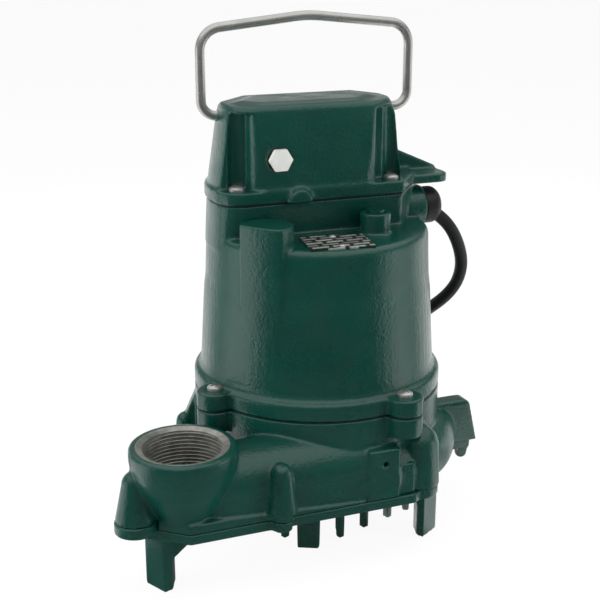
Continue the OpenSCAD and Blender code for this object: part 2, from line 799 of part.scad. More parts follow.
// Upper chamber inside the housing's top, with bosses left for the cover's screws
module chamber_outline() {
    difference() {
        joint_outline(bell_top_r, front_y, 10, chamber_wall);
        for (s = cap_spots) translate(s) circle(r = cap_boss_r);
        translate([cap_spots[0][0] - 20, -front_y - 1]) square([20, 12]);
        translate([cap_spots[1][0], -front_y - 1]) square([30, 12]);
        translate([cap_spots[2][0] - 20, cap_spots[2][1]]) square([20, 30]);
        translate([cap_spots[3][0], cap_spots[3][1]]) square([30, 30]);
    }
}

lead_spot = [0, 40.6];
lead_hole_r = 8;
gland_r = 7;
filler_plug_r = 5;

module name_plate() {
    color(carbon) at_shaft() name_plate_place() difference() {
        translate([-name_w / 2, -name_d / 2, 0]) cube([name_w, name_d, name_t]);
        name_plate_holes() translate([0, 0, -1]) cylinder(r = rivet_r, h = 3, $fn = 32);
    }
}

rivet_r = 1.2;

module name_plate_place() {
    translate([-6.8, -46, shelf_z]) rotate([0, 0, -8]) children();
}

module name_plate_holes() {
    for (side = [-1, 1]) translate([0, side * (name_d / 2 - 3.5), 0]) children();
}

module name_plate_rivets() {
    color(stainless) at_shaft() name_plate_place() name_plate_holes()
        translate([0, 0, name_t]) rotate_extrude() polygon(concat(
            [[0, -name_t], [rivet_r, -name_t], [rivet_r, 0], [2.2, 0]],
            arc([0, 0], 2.2, 1.2, 20, 90, 4)
        ));
}

module filler_plug() {
    color(enamel) at_shaft() translate([filler_spot[0], filler_spot[1], shelf_z]) difference() {
        cylinder(r = filler_plug_r, h = filler_h + 1.5);
        translate([-filler_plug_r, -0.8, filler_h - 1])
            cube([2 * filler_plug_r, 1.6, 5]);
    }
}

// ---- Motor ------------------------------------------------------------------------------

pole_w = 24;
shoe_t = 5;
yoke_t = 6;
coil_t = 8;
shade_turn = 21;
shade_w = 2.4;
shade_cut = 3.4;
bore = rotor_r + air_gap;

module pole_sector(r0, r1, half_angle) {
    far = 2 * r1;
    intersection() {
        difference() {
            circle(r = r1);
            circle(r = r0);
        }
        polygon([[0, 0], far * [cos(half_angle), sin(half_angle)], [far, 0],
                 far * [cos(half_angle), -sin(half_angle)]]);
    }
}

module stator_core() {
    color(steel) at_shaft() translate([0, 0, stack_foot_z]) linear_extrude(stack_h) difference() {
        union() {
            difference() {
                circle(r = stator_r);
                circle(r = stator_r - yoke_t);
            }
            for (k = [0:3]) rotate(90 * k) {
                translate([bore + 1, -pole_w / 2])
                    square([stator_r - yoke_t - bore + 1, pole_w]);
                pole_sector(bore, bore + shoe_t, 37);
            }
        }
        circle(r = bore);
        for (k = [0:3]) rotate(90 * k + shade_turn)
            translate([bore - 1, -shade_w / 2]) square([1 + shade_cut, shade_w]);
    }
}

module stator_coils() {
    r0 = bore + shoe_t + 1;
    r1 = stator_r - yoke_t - 5.5;
    color(copper) at_shaft() for (k = [0:3]) rotate([0, 0, 90 * k])
        translate([r0, 0, stack_foot_z]) difference() {
            translate([0, -pole_w / 2 - coil_t, -coil_t])
                cube([r1 - r0, pole_w + 2 * coil_t, stack_h + 2 * coil_t]);
            translate([-1, -pole_w / 2, 0]) cube([r1 - r0 + 2, pole_w, stack_h]);
        }
}

// A copper band through the slot of each pole shoe and round the shoe's tip
module shading_rings() {
    bar = 2;
    turn_out = 37;
    shade_arc = 19;
    ring_r0 = bore + 0.8;
    ring_r1 = bore + shade_cut - 0.2;
    color(copper) at_shaft() for (k = [0:3]) rotate([0, 0, 90 * k]) {
        rotate([0, 0, shade_turn])
            translate([ring_r0, -shade_w / 2, stack_foot_z - bar])
                cube([ring_r1 - ring_r0, shade_w, stack_h + 2 * bar]);
        for (z = [stack_foot_z - bar, stack_foot_z + stack_h])
            translate([0, 0, z]) linear_extrude(bar) intersection() {
                difference() {
                    circle(r = ring_r1);
                    circle(r = ring_r0);
                }
                rotate(shade_turn) polygon([
                    [0, 0], [2 * bore, 0], 2 * bore * [cos(shade_arc), sin(shade_arc)]
                ]);
            }
        rotate([0, 0, turn_out]) translate([ring_r0, 0.05, stack_foot_z - bar])
            cube([ring_r1 - ring_r0, bar, stack_h + 2 * bar]);
    }
}

module thermal_protector() {
    color(plastic) at_shaft() translate([39, -9, stack_top_z + coil_t]) cube([9, 18, 7]);
}

module rotor_core() {
    color(steel) at_shaft() translate([0, 0, stack_foot_z]) difference() {
        cylinder(r = rotor_r, h = stack_h);
        translate([0, 0, -1]) cylinder(r = rotor_seat_r, h = stack_h + 2);
        for (k = [1:rotor_bars]) rotate([0, 0, 360 / rotor_bars * k])
            translate([rotor_r - 4, 0, -1]) cylinder(r = 2, h = stack_h + 2, $fn = 24);
    }
}

module rotor_cage() {
    color(aluminium) at_shaft() {
        for (k = [1:rotor_bars]) rotate([0, 0, 360 / rotor_bars * k])
            translate([rotor_r - 4, 0, stack_foot_z - 1])
                cylinder(r = 2, h = stack_h + 2, $fn = 24);
        for (z = [stack_foot_z - cage_ring_h, stack_top_z]) translate([0, 0, z]) difference() {
            cylinder(r = rotor_r - 1, h = cage_ring_h);
            translate([0, 0, -1]) cylinder(r = rotor_r - 12, h = cage_ring_h + 2);
        }
    }
}

splice_z = shelf_z + 6.5;
lead_r = 1.2;
lead_fit = 0.15;
lead_pitch = 2.8;
cap_pitch = 6.8;
cap_step = 1.4;

// Straight piece of wire from a to b
module wire_piece(a, b, r) {
    d = b - a;
    flat = norm([d[0], d[1]]);
    translate(a) rotate([0, atan2(flat, d[2]), atan2(d[1], d[0])]) cylinder(r = r, h = norm(d), $fn = 24);
}

module motor_lead(k, r) {
    wire_piece([lead_pitch * k, lead_spot[1], stack_top_z + coil_t + 0.3],
               [cap_pitch * k, lead_spot[1], splice_z - 0.3], r);
}

module motor_leads() {
    color(white_nylon) at_shaft() for (k = [-1:1]) motor_lead(k, lead_r);
}

module lead_grommet() {
    color(black_rubber) at_shaft()
        translate([lead_spot[0], lead_spot[1], shelf_z - shelf_t]) difference() {
            union() {
                cylinder(r = lead_hole_r, h = shelf_t);
                translate([0, 0, shelf_t]) cylinder(r = lead_hole_r + 1.5, h = 1.5);
            }
            translate([-lead_spot[0], -lead_spot[1], shelf_t - shelf_z])
                for (k = [-1:1]) motor_lead(k, lead_r + lead_fit);
        }
}

module splice_caps() {
    color(bronze) at_shaft() for (k = [-1:1])
        translate([cap_pitch * k, lead_spot[1] - cap_step, splice_z])
            cylinder(r1 = 3.1, r2 = 2.3, h = 10);
}

module earth_screw() {
    color(brass) at_shaft() translate([-20, -4, shelf_z]) cylinder(r = 3.5, h = 5);
}

// ---- Shaft line -------------------------------------------------------------------------

module shaft() {
    color(steel) at_shaft() rotate_extrude() polygon([
        [0, hub_foot_z - washer_t - nut_h - 2],
        [shaft_r - 1.5, hub_foot_z - washer_t - nut_h - 2],
        [shaft_r - 1, hub_foot_z - washer_t - nut_h - 1.5],
        [shaft_r - 1, hub_foot_z], [shaft_r, hub_foot_z], [shaft_r, shaft_shoulder_z],
        [rotor_seat_r, shaft_shoulder_z], [rotor_seat_r, shaft_top_shoulder_z],
        [shaft_r, shaft_top_shoulder_z], [shaft_r, shaft_end_z - 1],
        [shaft_r - 1, shaft_end_z], [0, shaft_end_z]
    ]);
}

module bush(z, l, flange_z) {
    translate([0, 0, z]) difference() {
        union() {
            cylinder(r = bush_r, h = l);
            translate([0, 0, flange_z]) cylinder(r = bush_r + 3, h = bush_flange_t);
        }
        translate([0, 0, -3]) cylinder(r = shaft_r + shaft_fit, h = l + 6);
    }
}

module lower_bearing() {
    color(bronze) at_shaft() bush(lower_bush_z, lower_bush_l, lower_bush_l);
}

module upper_bearing() {
    color(bronze) at_shaft()
        bush(upper_bush_foot, upper_bush_l - 0.5, -bush_flange_t);
}

module thrust_washers() {
    color(stainless) at_shaft()
        for (z = [shaft_shoulder_z - washer_t, shaft_top_shoulder_z])
            translate([0, 0, z]) difference() {
                cylinder(r = rotor_seat_r, h = washer_t);
                translate([0, 0, -1]) cylinder(r = shaft_r, h = washer_t + 2);
            }
}

module seal_seat() {
    color(ceramic) at_shaft() translate([0, 0, seat_ring_z]) difference() {
        cylinder(r = seat_ring_r, h = seat_ring_t);
        translate([0, 0, -1]) cylinder(r = shaft_r + 1, h = seat_ring_t + 2);
    }
}

seal_face_gap = 0.1;
seal_ring_t = 4;

module seal_ring() {
    color(carbon) at_shaft()
        translate([0, 0, seat_ring_z - seal_face_gap - seal_ring_t]) difference() {
            cylinder(r = shaft_r + 4.5, h = seal_ring_t);
            translate([0, 0, -1]) cylinder(r = shaft_r, h = seal_ring_t + 2);
        }
}

module seal_bellows() {
    bellows_h = seat_ring_z - seal_face_gap - seal_ring_t - hub_top_z;
    color(black_rubber) at_shaft() translate([0, 0, hub_top_z]) difference() {
        cylinder(r1 = shaft_r + 4, r2 = shaft_r + 3, h = bellows_h);
        translate([0, 0, -1]) cylinder(r = shaft_r, h = bellows_h + 2);
    }
}

module impeller() {
    color(plastic) at_shaft() difference() {
        union() {
            translate([0, 0, hub_top_z - shroud_t]) cylinder(r = impeller_r, h = shroud_t);
            translate([0, 0, hub_foot_z]) cylinder(r = hub_r, h = hub_top_z - hub_foot_z);
            intersection() {
                for (k = [1:vanes]) rotate([0, 0, 360 / vanes * k])
                    translate([hub_r - 3, -2, hub_top_z - shroud_t - vane_h])
                        rotate([0, 0, 18]) translate([0, -vane_t / 2, 0])
                            cube([impeller_r, vane_t, vane_h + 1]);
                translate([0, 0, hub_top_z - shroud_t - vane_h])
                    cylinder(r = impeller_r - 1, h = vane_h + 1);
            }
        }
        translate([0, 0, hub_foot_z - 1]) cylinder(r = shaft_r, h = hub_top_z - hub_foot_z + 2);
        translate([0, 0, hub_foot_z - vane_h])
            cylinder(r = hub_r + 1.5, h = vane_h);
    }
}

module impeller_washer() {
    color(stainless) at_shaft() translate([0, 0, hub_foot_z - washer_t]) difference() {
        cylinder(r = hub_r - 1.5, h = washer_t);
        translate([0, 0, -1]) cylinder(r = shaft_r - 1, h = washer_t + 2);
    }
}

module impeller_nut() {
    color(stainless) at_shaft()
        translate([0, 0, hub_foot_z - washer_t - nut_h]) difference() {
            cylinder(r = nut_r, h = nut_h, $fn = 6);
            translate([0, 0, -1]) cylinder(r = shaft_r - 1, h = nut_h + 2);
        }
}

// ---- Cover ------------------------------------------------------------------------------

module cover_gasket() {
    color(black_rubber) at_shaft() translate([0, 0, cover_joint_z])
        difference() {
            linear_extrude(gasket_t) difference() {
                flange_outline(lip_inset + 0.1);
                chamber_outline();
            }
            at_spots(cap_spots, -1) cylinder(d = screw_d, h = 3);
        }
}

// Outline of the cover's box at one level
module box_outline(r, front, right, back, rear_cut, round_r) {
    corner = 12;
    intersection() {
        circle(r = r, $fn = 72);
        polygon(concat(
            arc([corner - r, corner - front], corner, corner, 180, 270, 6),
            arc([right - round_r, round_r - front], round_r, round_r, 270, 360, 8),
            [[right, back - rear_cut * 1.2], [right - rear_cut * 0.6, back],
             [rear_cut * 1.3 - r, back], [-r, back - rear_cut * 1.3]]
        ));
    }
}

module box_level(z, r, front, right, back, rear_cut, round_r) {
    translate([0, 0, z]) linear_extrude(0.1)
        box_outline(r, front, right, back, rear_cut, round_r);
}

module cover_box() {
    top_z = roof_z - panel_t - 0.1;
    skirt_z = ledge_z + 0.8 * (top_z - ledge_z);
    front = joint_front - 0.5;
    hull() {
        box_level(cover_z, skirt_r, front, box_right, box_back, 2, box_corner);
        box_level(ledge_z, skirt_r - 0.6, front - 0.4, box_right - 0.1, box_back - 0.4, 4,
                  box_corner);
        box_level(skirt_z, crown_r + 1.5, front - box_draft * 0.8,
                  box_right - right_draft * 0.8, box_back - box_draft, 8, crown_corner - 6);
        box_level(top_z - 2.5, crown_r, front - box_draft,
                  box_right - right_draft, box_back - box_draft - 7, 16, crown_corner);
        box_level(top_z, crown_r - 1.4, front - box_draft - 1.4,
                  box_right - right_draft - 1.4, box_back - box_draft - 11, 17, crown_corner);
    }
}

// Plate over the cord where it leaves the housing, with a rib up the cover's side
module guard() {
    end_r = 8;
    rib_t = 4;
    translate([0, 0, cover_z]) {
        translate([0, cord_y, 0]) linear_extrude(guard_t) hull() {
            translate([box_right - 12, -guard_w / 2]) square([1, guard_w]);
            translate([guard_x - end_r, -guard_w / 2 + end_r]) circle(r = end_r, $fn = 48);
            translate([guard_x - end_r, guard_w / 2 - end_r]) circle(r = end_r, $fn = 48);
        }
        translate([0, cord_y + guard_w / 2, 0]) rotate([90, 0, 0]) linear_extrude(rib_t)
            polygon([[box_right - 12, 0], [guard_x - 1.6, 0], [guard_x - 1.6, guard_t + 1.6],
                     [box_right - 3, guard_rib_h], [box_right - 12, guard_rib_h]]);
    }
}

// Raised panel on the roof, with sloping sides
module roof_panel() {
    foot = [[-53, 2], [-44, -14.5], [23, -14.5], [40, 4], [31, 27], [-33, 27]];
    top = [[-46, 2], [-38, -10], [20, -10], [33, 3], [25, 23], [-30, 23]];
    hull() {
        translate([0, 0, roof_z - panel_t - 0.2]) linear_extrude(0.1) polygon(foot);
        translate([0, 0, roof_z - 0.1]) linear_extrude(0.1) polygon(top);
    }
}

// Hollow inside the cover, clear of the screws and of the handle's sockets
module cover_hollow() {
    hollow_left = 44;
    hollow_right = 31;
    difference() {
        translate([-hollow_left, cover_wall + 0.5 - joint_front])
            square([hollow_left + hollow_right, box_back + joint_front - 2 * cover_wall - 4]);
        for (s = cap_spots) translate(s) circle(r = 12.5);
        translate([cap_spots[0][0] - 20, -joint_front])
            square([panel_in[0] + 20 + cover_wall, 19]);
        translate([cap_spots[1][0] - panel_in[1] - cover_wall, -joint_front])
            square([panel_in[1] + 20, 19]);
    }
}

// Front of the cover between its two screw pockets, with rounded edges beside them
panel_in = [7, 11];

module front_panel_outline() {
    left = cap_spots[0][0] + panel_in[0];
    right = cap_spots[1][0] - panel_in[1];
    edge = 7.5;
    face = 1.4 - joint_front;
    depth = 60;
    translate([left + edge, -depth]) square([right - left - 2 * edge, 2 * depth]);
    translate([left, face + edge]) square([right - left, depth]);
    for (x = [left + edge, right - edge]) translate([x, face + edge]) circle(r = edge);
}

module front_pockets() {
    far_left = 1.6 - skirt_r;
    far_right = box_right - 1.4;
    back = cap_spots[0][1] + 3;
    difference() {
        translate([far_left, back - 40]) square([far_right - far_left, 40]);
        front_panel_outline();
    }
    for (k = [0, 1]) translate(cap_spots[k]) circle(d = screw_head_d + 1.4);
}

module top_cover() {
    thumb_x = -20;
    eave = 3.5;
    pocket_r = 7.2;
    pocket_h = roof_z - panel_t - eave - ledge_z;
    color(enamel) at_shaft() difference() {
        union() {
            translate([0, 0, cover_z]) linear_extrude(cover_flange_t) flange_outline();
            cover_box();
            roof_panel();
            translate([thumb_x, 1.5 - joint_front, cover_z]) rotate([90, 0, 0]) intersection() {
                cylinder(r1 = thumb_r, r2 = thumb_r - 2.5, h = 5);
                translate([-thumb_r, 0, 0]) cube([2 * thumb_r, thumb_r, 5]);
            }
            guard();
        }
        // pockets over the front screws, up to the eave
        translate([0, 0, ledge_z]) linear_extrude(pocket_h) front_pockets();
        at_spots([cap_spots[2], cap_spots[3]], ledge_z) cylinder(r = pocket_r, h = cover_h);
        translate([0, 0, cover_z - 1]) linear_extrude(cover_h - panel_t - cover_wall + 1)
            cover_hollow();
        at_spots(cap_spots, cover_z - 1)
            cylinder(d = screw_d + 0.6, h = cover_flange_t + 2);
        // plug's bore and spot face
        translate([-plug_x, -joint_front - 1, cover_z + plug_h]) rotate([-90, 0, 0]) {
            cylinder(r = plug_bore_r, h = joint_front - 10);
            cylinder(r = plug_af * 0.62, h = joint_front + 1 - plug_seat_y);
        }
        // sockets for the handle's wire ends
        translate([-socket_left, bail_y, pivot_z]) rotate([0, -90, 0])
            cylinder(d = wire_d + 2 * pivot_fit, h = 30);
        translate([socket_right, bail_y, pivot_z]) rotate([0, 90, 0])
            cylinder(d = wire_d + 2 * pivot_fit, h = 30);
    }
}

pivot_fit = 0.1;
socket_left = bail_left - low_bend_r - left_grip - 0.8;
socket_right = bail_right - low_bend_r - right_grip - 0.8;
plug_bore_r = 4.2;
plug_turn = 1;
plug_head_h = 3;
plug_seal_t = 1;
plug_seat_y = joint_front - 2.2;

module cover_screws() {
    color(stainless) at_shaft() at_spots(cap_spots, ledge_z)
        rotate([0, 0, 40]) pan_screw(cover_flange_t + gasket_t + screw_grip - 0.5);
}

module hex_plug() {
    color(white_nylon) at_shaft()
        translate([-plug_x, -plug_seat_y - plug_seal_t, cover_z + plug_h]) rotate([90, 0, 0]) {
            rotate([0, 0, plug_turn]) cylinder(r = plug_af / sqrt(3), h = plug_head_h, $fn = 6);
            translate([0, 0, -6]) cylinder(r = plug_bore_r, h = 6.5);
        }
}

module plug_seal() {
    color(black_rubber) at_shaft()
        translate([-plug_x, -plug_seat_y, cover_z + plug_h]) rotate([90, 0, 0]) difference() {
            cylinder(r = plug_af * 0.56, h = plug_seal_t);
            translate([0, 0, -1]) cylinder(r = plug_bore_r, h = 3);
        }
}

// ---- Handle -----------------------------------------------------------------------------

// Wire in the vertical plane through the pivots, drawn from the left pivot to the right one
module wire_bend(at, r, from, to) {
    translate([at[0], 0, at[1]]) rotate([90, 0, 0]) rotate([0, 0, from])
        rotate_extrude(angle = to - from) translate([r, 0]) circle(d = wire_d);
}

// Straight run whose ends reach a little into the bends
module wire_run(a, b, reach_a = 0.4, reach_b = 0.4) {
    d = b - a;
    translate([a[0], 0, a[1]]) rotate([0, atan2(d[0], d[1]), 0]) translate([0, 0, -reach_a])
        cylinder(d = wire_d - 0.04, h = norm(d) + reach_a + reach_b);
}

bail_mid = (bail_right - bail_left) / 2;
leg_x = (bail_right + bail_left) / 2;
corner_x = leg_x - top_bend_r;
bow_z = bail_h - wire_d / 2 - bow_r;
bow_end = [bow_r * sin(bow_tilt), bow_z + bow_r * cos(bow_tilt)];
run_end = [corner_x + top_bend_r * sin(bow_tilt),
           bow_end[1] - (corner_x + top_bend_r * sin(bow_tilt) - bow_end[0]) * tan(bow_tilt)];
corner_z = run_end[1] - top_bend_r * cos(bow_tilt);

module bail_leg(grip) {
    wire_run([leg_x - low_bend_r - grip, 0], [leg_x - low_bend_r, 0], 0);
    wire_bend([leg_x - low_bend_r, low_bend_r], low_bend_r, -90, 0);
    wire_run([leg_x, low_bend_r], [leg_x, corner_z]);
    wire_bend([corner_x, corner_z], top_bend_r, 0, 90 - bow_tilt);
    wire_run(run_end, bow_end);
}

module bail_handle() {
    color(stainless) at_shaft() translate([bail_mid, bail_y, pivot_z]) {
        bail_leg(right_grip);
        mirror([1, 0, 0]) bail_leg(left_grip);
        wire_bend([0, bow_z], bow_r, 90 - bow_tilt, 90 + bow_tilt);
    }
}

// ---- Cord -------------------------------------------------------------------------------

sleeve_turn = 36;
sleeve_l = 7.5;
gland_l = 18;
gland_fit = 0.1;
sleeve_foot = [cord_boss_x + 5.1, cord_y, cord_z - 1.5];
conductor_pitch = 3.4;
conductor_pocket_r = 1.6;

// Rubber gland: plug in the boss, collar, and a sleeve that droops with the cord
module cord_gland() {
    collar_r = 11.4;
    collar_l = 12;
    sleeve_r = 8;
    color(black_rubber) at_shaft() difference() {
        union() {
            translate([0, cord_y, cord_z]) rotate([0, 90, 0]) rotate_extrude() polygon([
                [0, cord_boss_x - gland_l], [gland_r - gland_fit, cord_boss_x - gland_l],
                [gland_r - gland_fit, cord_boss_x], [collar_r, cord_boss_x],
                [collar_r, cord_boss_x + collar_l - 4.6],
                [collar_r - 1.8, cord_boss_x + collar_l - 1.6],
                [collar_r - 5, cord_boss_x + collar_l], [0, cord_boss_x + collar_l]
            ]);
            translate(sleeve_foot) rotate([0, 90 + sleeve_turn, 0])
                cylinder(r1 = sleeve_r, r2 = sleeve_r - 1.8, h = sleeve_l);
        }
        for (k = [-1:1])
            translate([cord_boss_x - gland_l - 1, cord_y + conductor_pitch * k, cord_z])
                rotate([0, 90, 0]) cylinder(r = conductor_pocket_r, h = 3, $fn = 24);
    }
}

module cord_conductors() {
    wire_r = 0.9;
    color(white_nylon) at_shaft() for (k = [-1:1]) {
        from = [cord_boss_x - gland_l + 0.5, cord_y + conductor_pitch * k, cord_z];
        to = [cap_pitch * k, lead_spot[1] - 2 * cap_step, cord_z];
        wire_piece(from, to, wire_r);
        translate(to) sphere(r = wire_r + 0.1, $fn = 24);
        translate(to) cylinder(r = wire_r, h = splice_z - cord_z, $fn = 24);
    }
}

// The cord's own way from the gland to the coil, from the shaft: x, y, height
cord_route = [
    [81.6, 6, 181.6], [84.9, 6, 179.2], [88.6, 6, 176], [92.6, 6, 171.5], [96.2, 6.3, 166.1],
    [99.3, 6.8, 160], [101.8, 7.5, 153.5], [103.4, 8.5, 146.5], [103.6, 10, 139.5],
    [102.3, 12, 132.5], [99.3, 14.5, 126], [95.3, 18, 120], [91.5, 23.5, 114],
    [88.5, 31, 107.5], [87, 40, 100], [86.8, 50, 91.5], [87.3, 60.5, 81.5],
    [88.5, 71.5, 70], [90, 82.5, 58.5], [92, 93, 47.5], [94.5, 103.5, 37],
    [97, 113.5, 28], [99, 123, 20]
];
coil_spot = [55, 142];
tail_route = [
    [105.6, 163.5, 24], [102, 171, 26.5], [96.4, 177.5, 29], [90.5, 182, 31.5],
    [84.3, 185.5, 34], [77, 188, 36.5], [70, 189, 37.8], [62, 189, 38]
];

function unit(v) = v / norm(v);
function heading(p, i) = unit(p[min(i + 1, len(p) - 1)] - p[max(i - 1, 0)]);

// Tube along points, each ring square to the route there
module tube(p, d, sides = 10) {
    last = len(p) - 1;
    rings = [
        for (i = [0:last])
            let (t = heading(p, i), side = unit(cross(t, [0.31, 0.17, 1])), up = cross(side, t))
            for (k = [0:sides - 1])
                p[i] + d / 2 * (cos(360 * k / sides) * side + sin(360 * k / sides) * up)
    ];
    walls = [
        for (i = [0:last - 1]) for (k = [0:sides - 1])
            [i * sides + k, i * sides + (k + 1) % sides,
             (i + 1) * sides + (k + 1) % sides, (i + 1) * sides + k]
    ];
    ends = [
        [for (k = [0:sides - 1]) sides - 1 - k],
        [for (k = [0:sides - 1]) last * sides + k]
    ];
    polyhedron(rings, concat(walls, ends));
}

module power_cord() {
    color(black_rubber) at_shaft() tube(cord_route, cord_d);
}

module cord_tail() {
    color(black_rubber) at_shaft() tube(tail_route, cord_d);
}

module cord_coil() {
    w = coil_wide * cord_d;
    h = coil_layers * cord_d;
    color(black_rubber) at_shaft() translate([coil_spot[0], coil_spot[1], 0])
        rotate_extrude() translate([coil_r - w / 2, 0]) polygon([
            [2, 0], [w - 2, 0], [w, 2], [w, h - 2], [w - 2, h], [2, h], [0, h - 2], [0, 2]
        ]);
}

module cord_tie() {
    w = coil_wide * cord_d;
    h = coil_layers * cord_d;
    t = 1.2;
    tie_w = 6;
    slack = 0.2;
    color(plastic) at_shaft() translate([coil_spot[0], coil_spot[1], 0]) rotate([0, 0, 200])
        translate([coil_r - w / 2, -tie_w / 2, 0]) difference() {
            translate([-t, 0, 0]) cube([w + 2 * t, tie_w, h + t]);
            translate([-slack, -1, -1]) cube([w + 2 * slack, tie_w + 2, h + 1 + slack]);
        }
}

plug_z = 38;
plug_at = [coil_spot[0] - 7, 189];
plug_neck_l = 20;
plug_l = 30;
pin_l = 19;
blade_l = 16;

module plug_body() {
    color(black_rubber) at_shaft() translate([plug_at[0], plug_at[1], plug_z])
        rotate([0, -90, 0]) {
            cylinder(r1 = 8, r2 = 12, h = 12);
            translate([0, 0, 12]) linear_extrude(plug_l - 12) intersection() {
                circle(r = 13.5);
                square([27, 22], center = true);
            }
            translate([0, 0, -plug_neck_l]) cylinder(r1 = 5.2, r2 = 8, h = plug_neck_l);
        }
}

module plug_blades() {
    color(brass) at_shaft() translate([plug_at[0] - plug_l, plug_at[1], plug_z])
        for (side = [-1, 1])
            translate([-blade_l, side * 6.35 - 0.75, -2]) cube([blade_l, 1.5, 6.3]);
}

module plug_earth_pin() {
    color(brass) at_shaft() translate([plug_at[0] - plug_l, plug_at[1], plug_z - 9])
        rotate([0, -90, 0]) cylinder(r = 2.4, h = pin_l);
}

volute_casing();
base_plate();
base_screws();
seal_plate();
casing_gasket();
motor_housing();
housing_screws();
stator_core();
stator_coils();
shading_rings();
thermal_protector();
motor_leads();
lead_grommet();
splice_caps();
earth_screw();
upper_bearing();
lower_bearing();
seal_seat();
shaft();
rotor_core();
rotor_cage();
thrust_washers();
seal_ring();
seal_bellows();
impeller();
impeller_nut();
impeller_washer();
cover_gasket();
top_cover();
cover_screws();
hex_plug();
plug_seal();
filler_plug();
name_plate();
name_plate_rivets();
bail_handle();
cord_gland();
cord_conductors();
power_cord();
cord_coil();
cord_tail();
cord_tie();
plug_body();
plug_blades();
plug_earth_pin();
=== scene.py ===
import json
import math
import bpy
import bmesh
import numpy as np
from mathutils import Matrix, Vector


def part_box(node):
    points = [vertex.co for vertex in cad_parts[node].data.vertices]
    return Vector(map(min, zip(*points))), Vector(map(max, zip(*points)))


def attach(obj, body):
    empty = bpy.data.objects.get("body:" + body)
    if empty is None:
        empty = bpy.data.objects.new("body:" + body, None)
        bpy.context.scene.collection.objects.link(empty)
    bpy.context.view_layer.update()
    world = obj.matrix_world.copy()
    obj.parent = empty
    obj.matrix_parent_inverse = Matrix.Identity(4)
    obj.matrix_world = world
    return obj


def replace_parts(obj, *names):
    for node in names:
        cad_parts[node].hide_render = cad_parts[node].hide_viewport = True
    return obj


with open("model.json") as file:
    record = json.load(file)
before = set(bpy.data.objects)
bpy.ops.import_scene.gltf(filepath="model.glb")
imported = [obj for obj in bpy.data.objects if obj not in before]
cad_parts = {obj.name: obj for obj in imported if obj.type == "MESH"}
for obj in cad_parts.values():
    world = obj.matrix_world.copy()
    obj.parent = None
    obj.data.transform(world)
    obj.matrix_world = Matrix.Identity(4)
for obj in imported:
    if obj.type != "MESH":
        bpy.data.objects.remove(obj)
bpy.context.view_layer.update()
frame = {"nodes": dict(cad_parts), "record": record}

scene = bpy.context.scene
scene.view_settings.view_transform = "Standard"

MM = 0.001
lo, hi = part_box("shaft")
SX, SY = (lo.x + hi.x) / 2, (lo.y + hi.y) / 2      # the shaft's axis


def at(x, y, z):
    """Point given from the shaft's axis in millimetres, as a vector in metres in the shared frame."""
    return Vector((x * MM + SX, y * MM + SY, z * MM))


# ---- camera ---------------------------------------------------------------------------------
CAM_AT = at(-254.9, -619.4, 347.5)
PITCH = math.radians(17.545)        # how far the camera looks down
HEAD_X, HEAD_Y = 0.3665, 0.9304     # level direction from the camera to the pump
LOOK = Vector((HEAD_X * math.cos(PITCH), HEAD_Y * math.cos(PITCH), -math.sin(PITCH)))
cam_data = bpy.data.cameras.new("camera")
cam_data.lens = 69.57
cam_data.sensor_width = 36.0
cam_data.clip_start, cam_data.clip_end = 0.05, 30
camera = bpy.data.objects.new("camera", cam_data)
scene.collection.objects.link(camera)
camera.location = CAM_AT
camera.rotation_mode = "QUATERNION"
camera.rotation_quaternion = LOOK.to_track_quat("-Z", "Y")
scene.camera = camera


# ---- materials ------------------------------------------------------------------------------
def rgba(sockets, name):
    """The colour socket of a Mix node, which has one socket of this name for each kind of value."""
    return next(s for s in sockets if s.name == name and s.type == "RGBA")


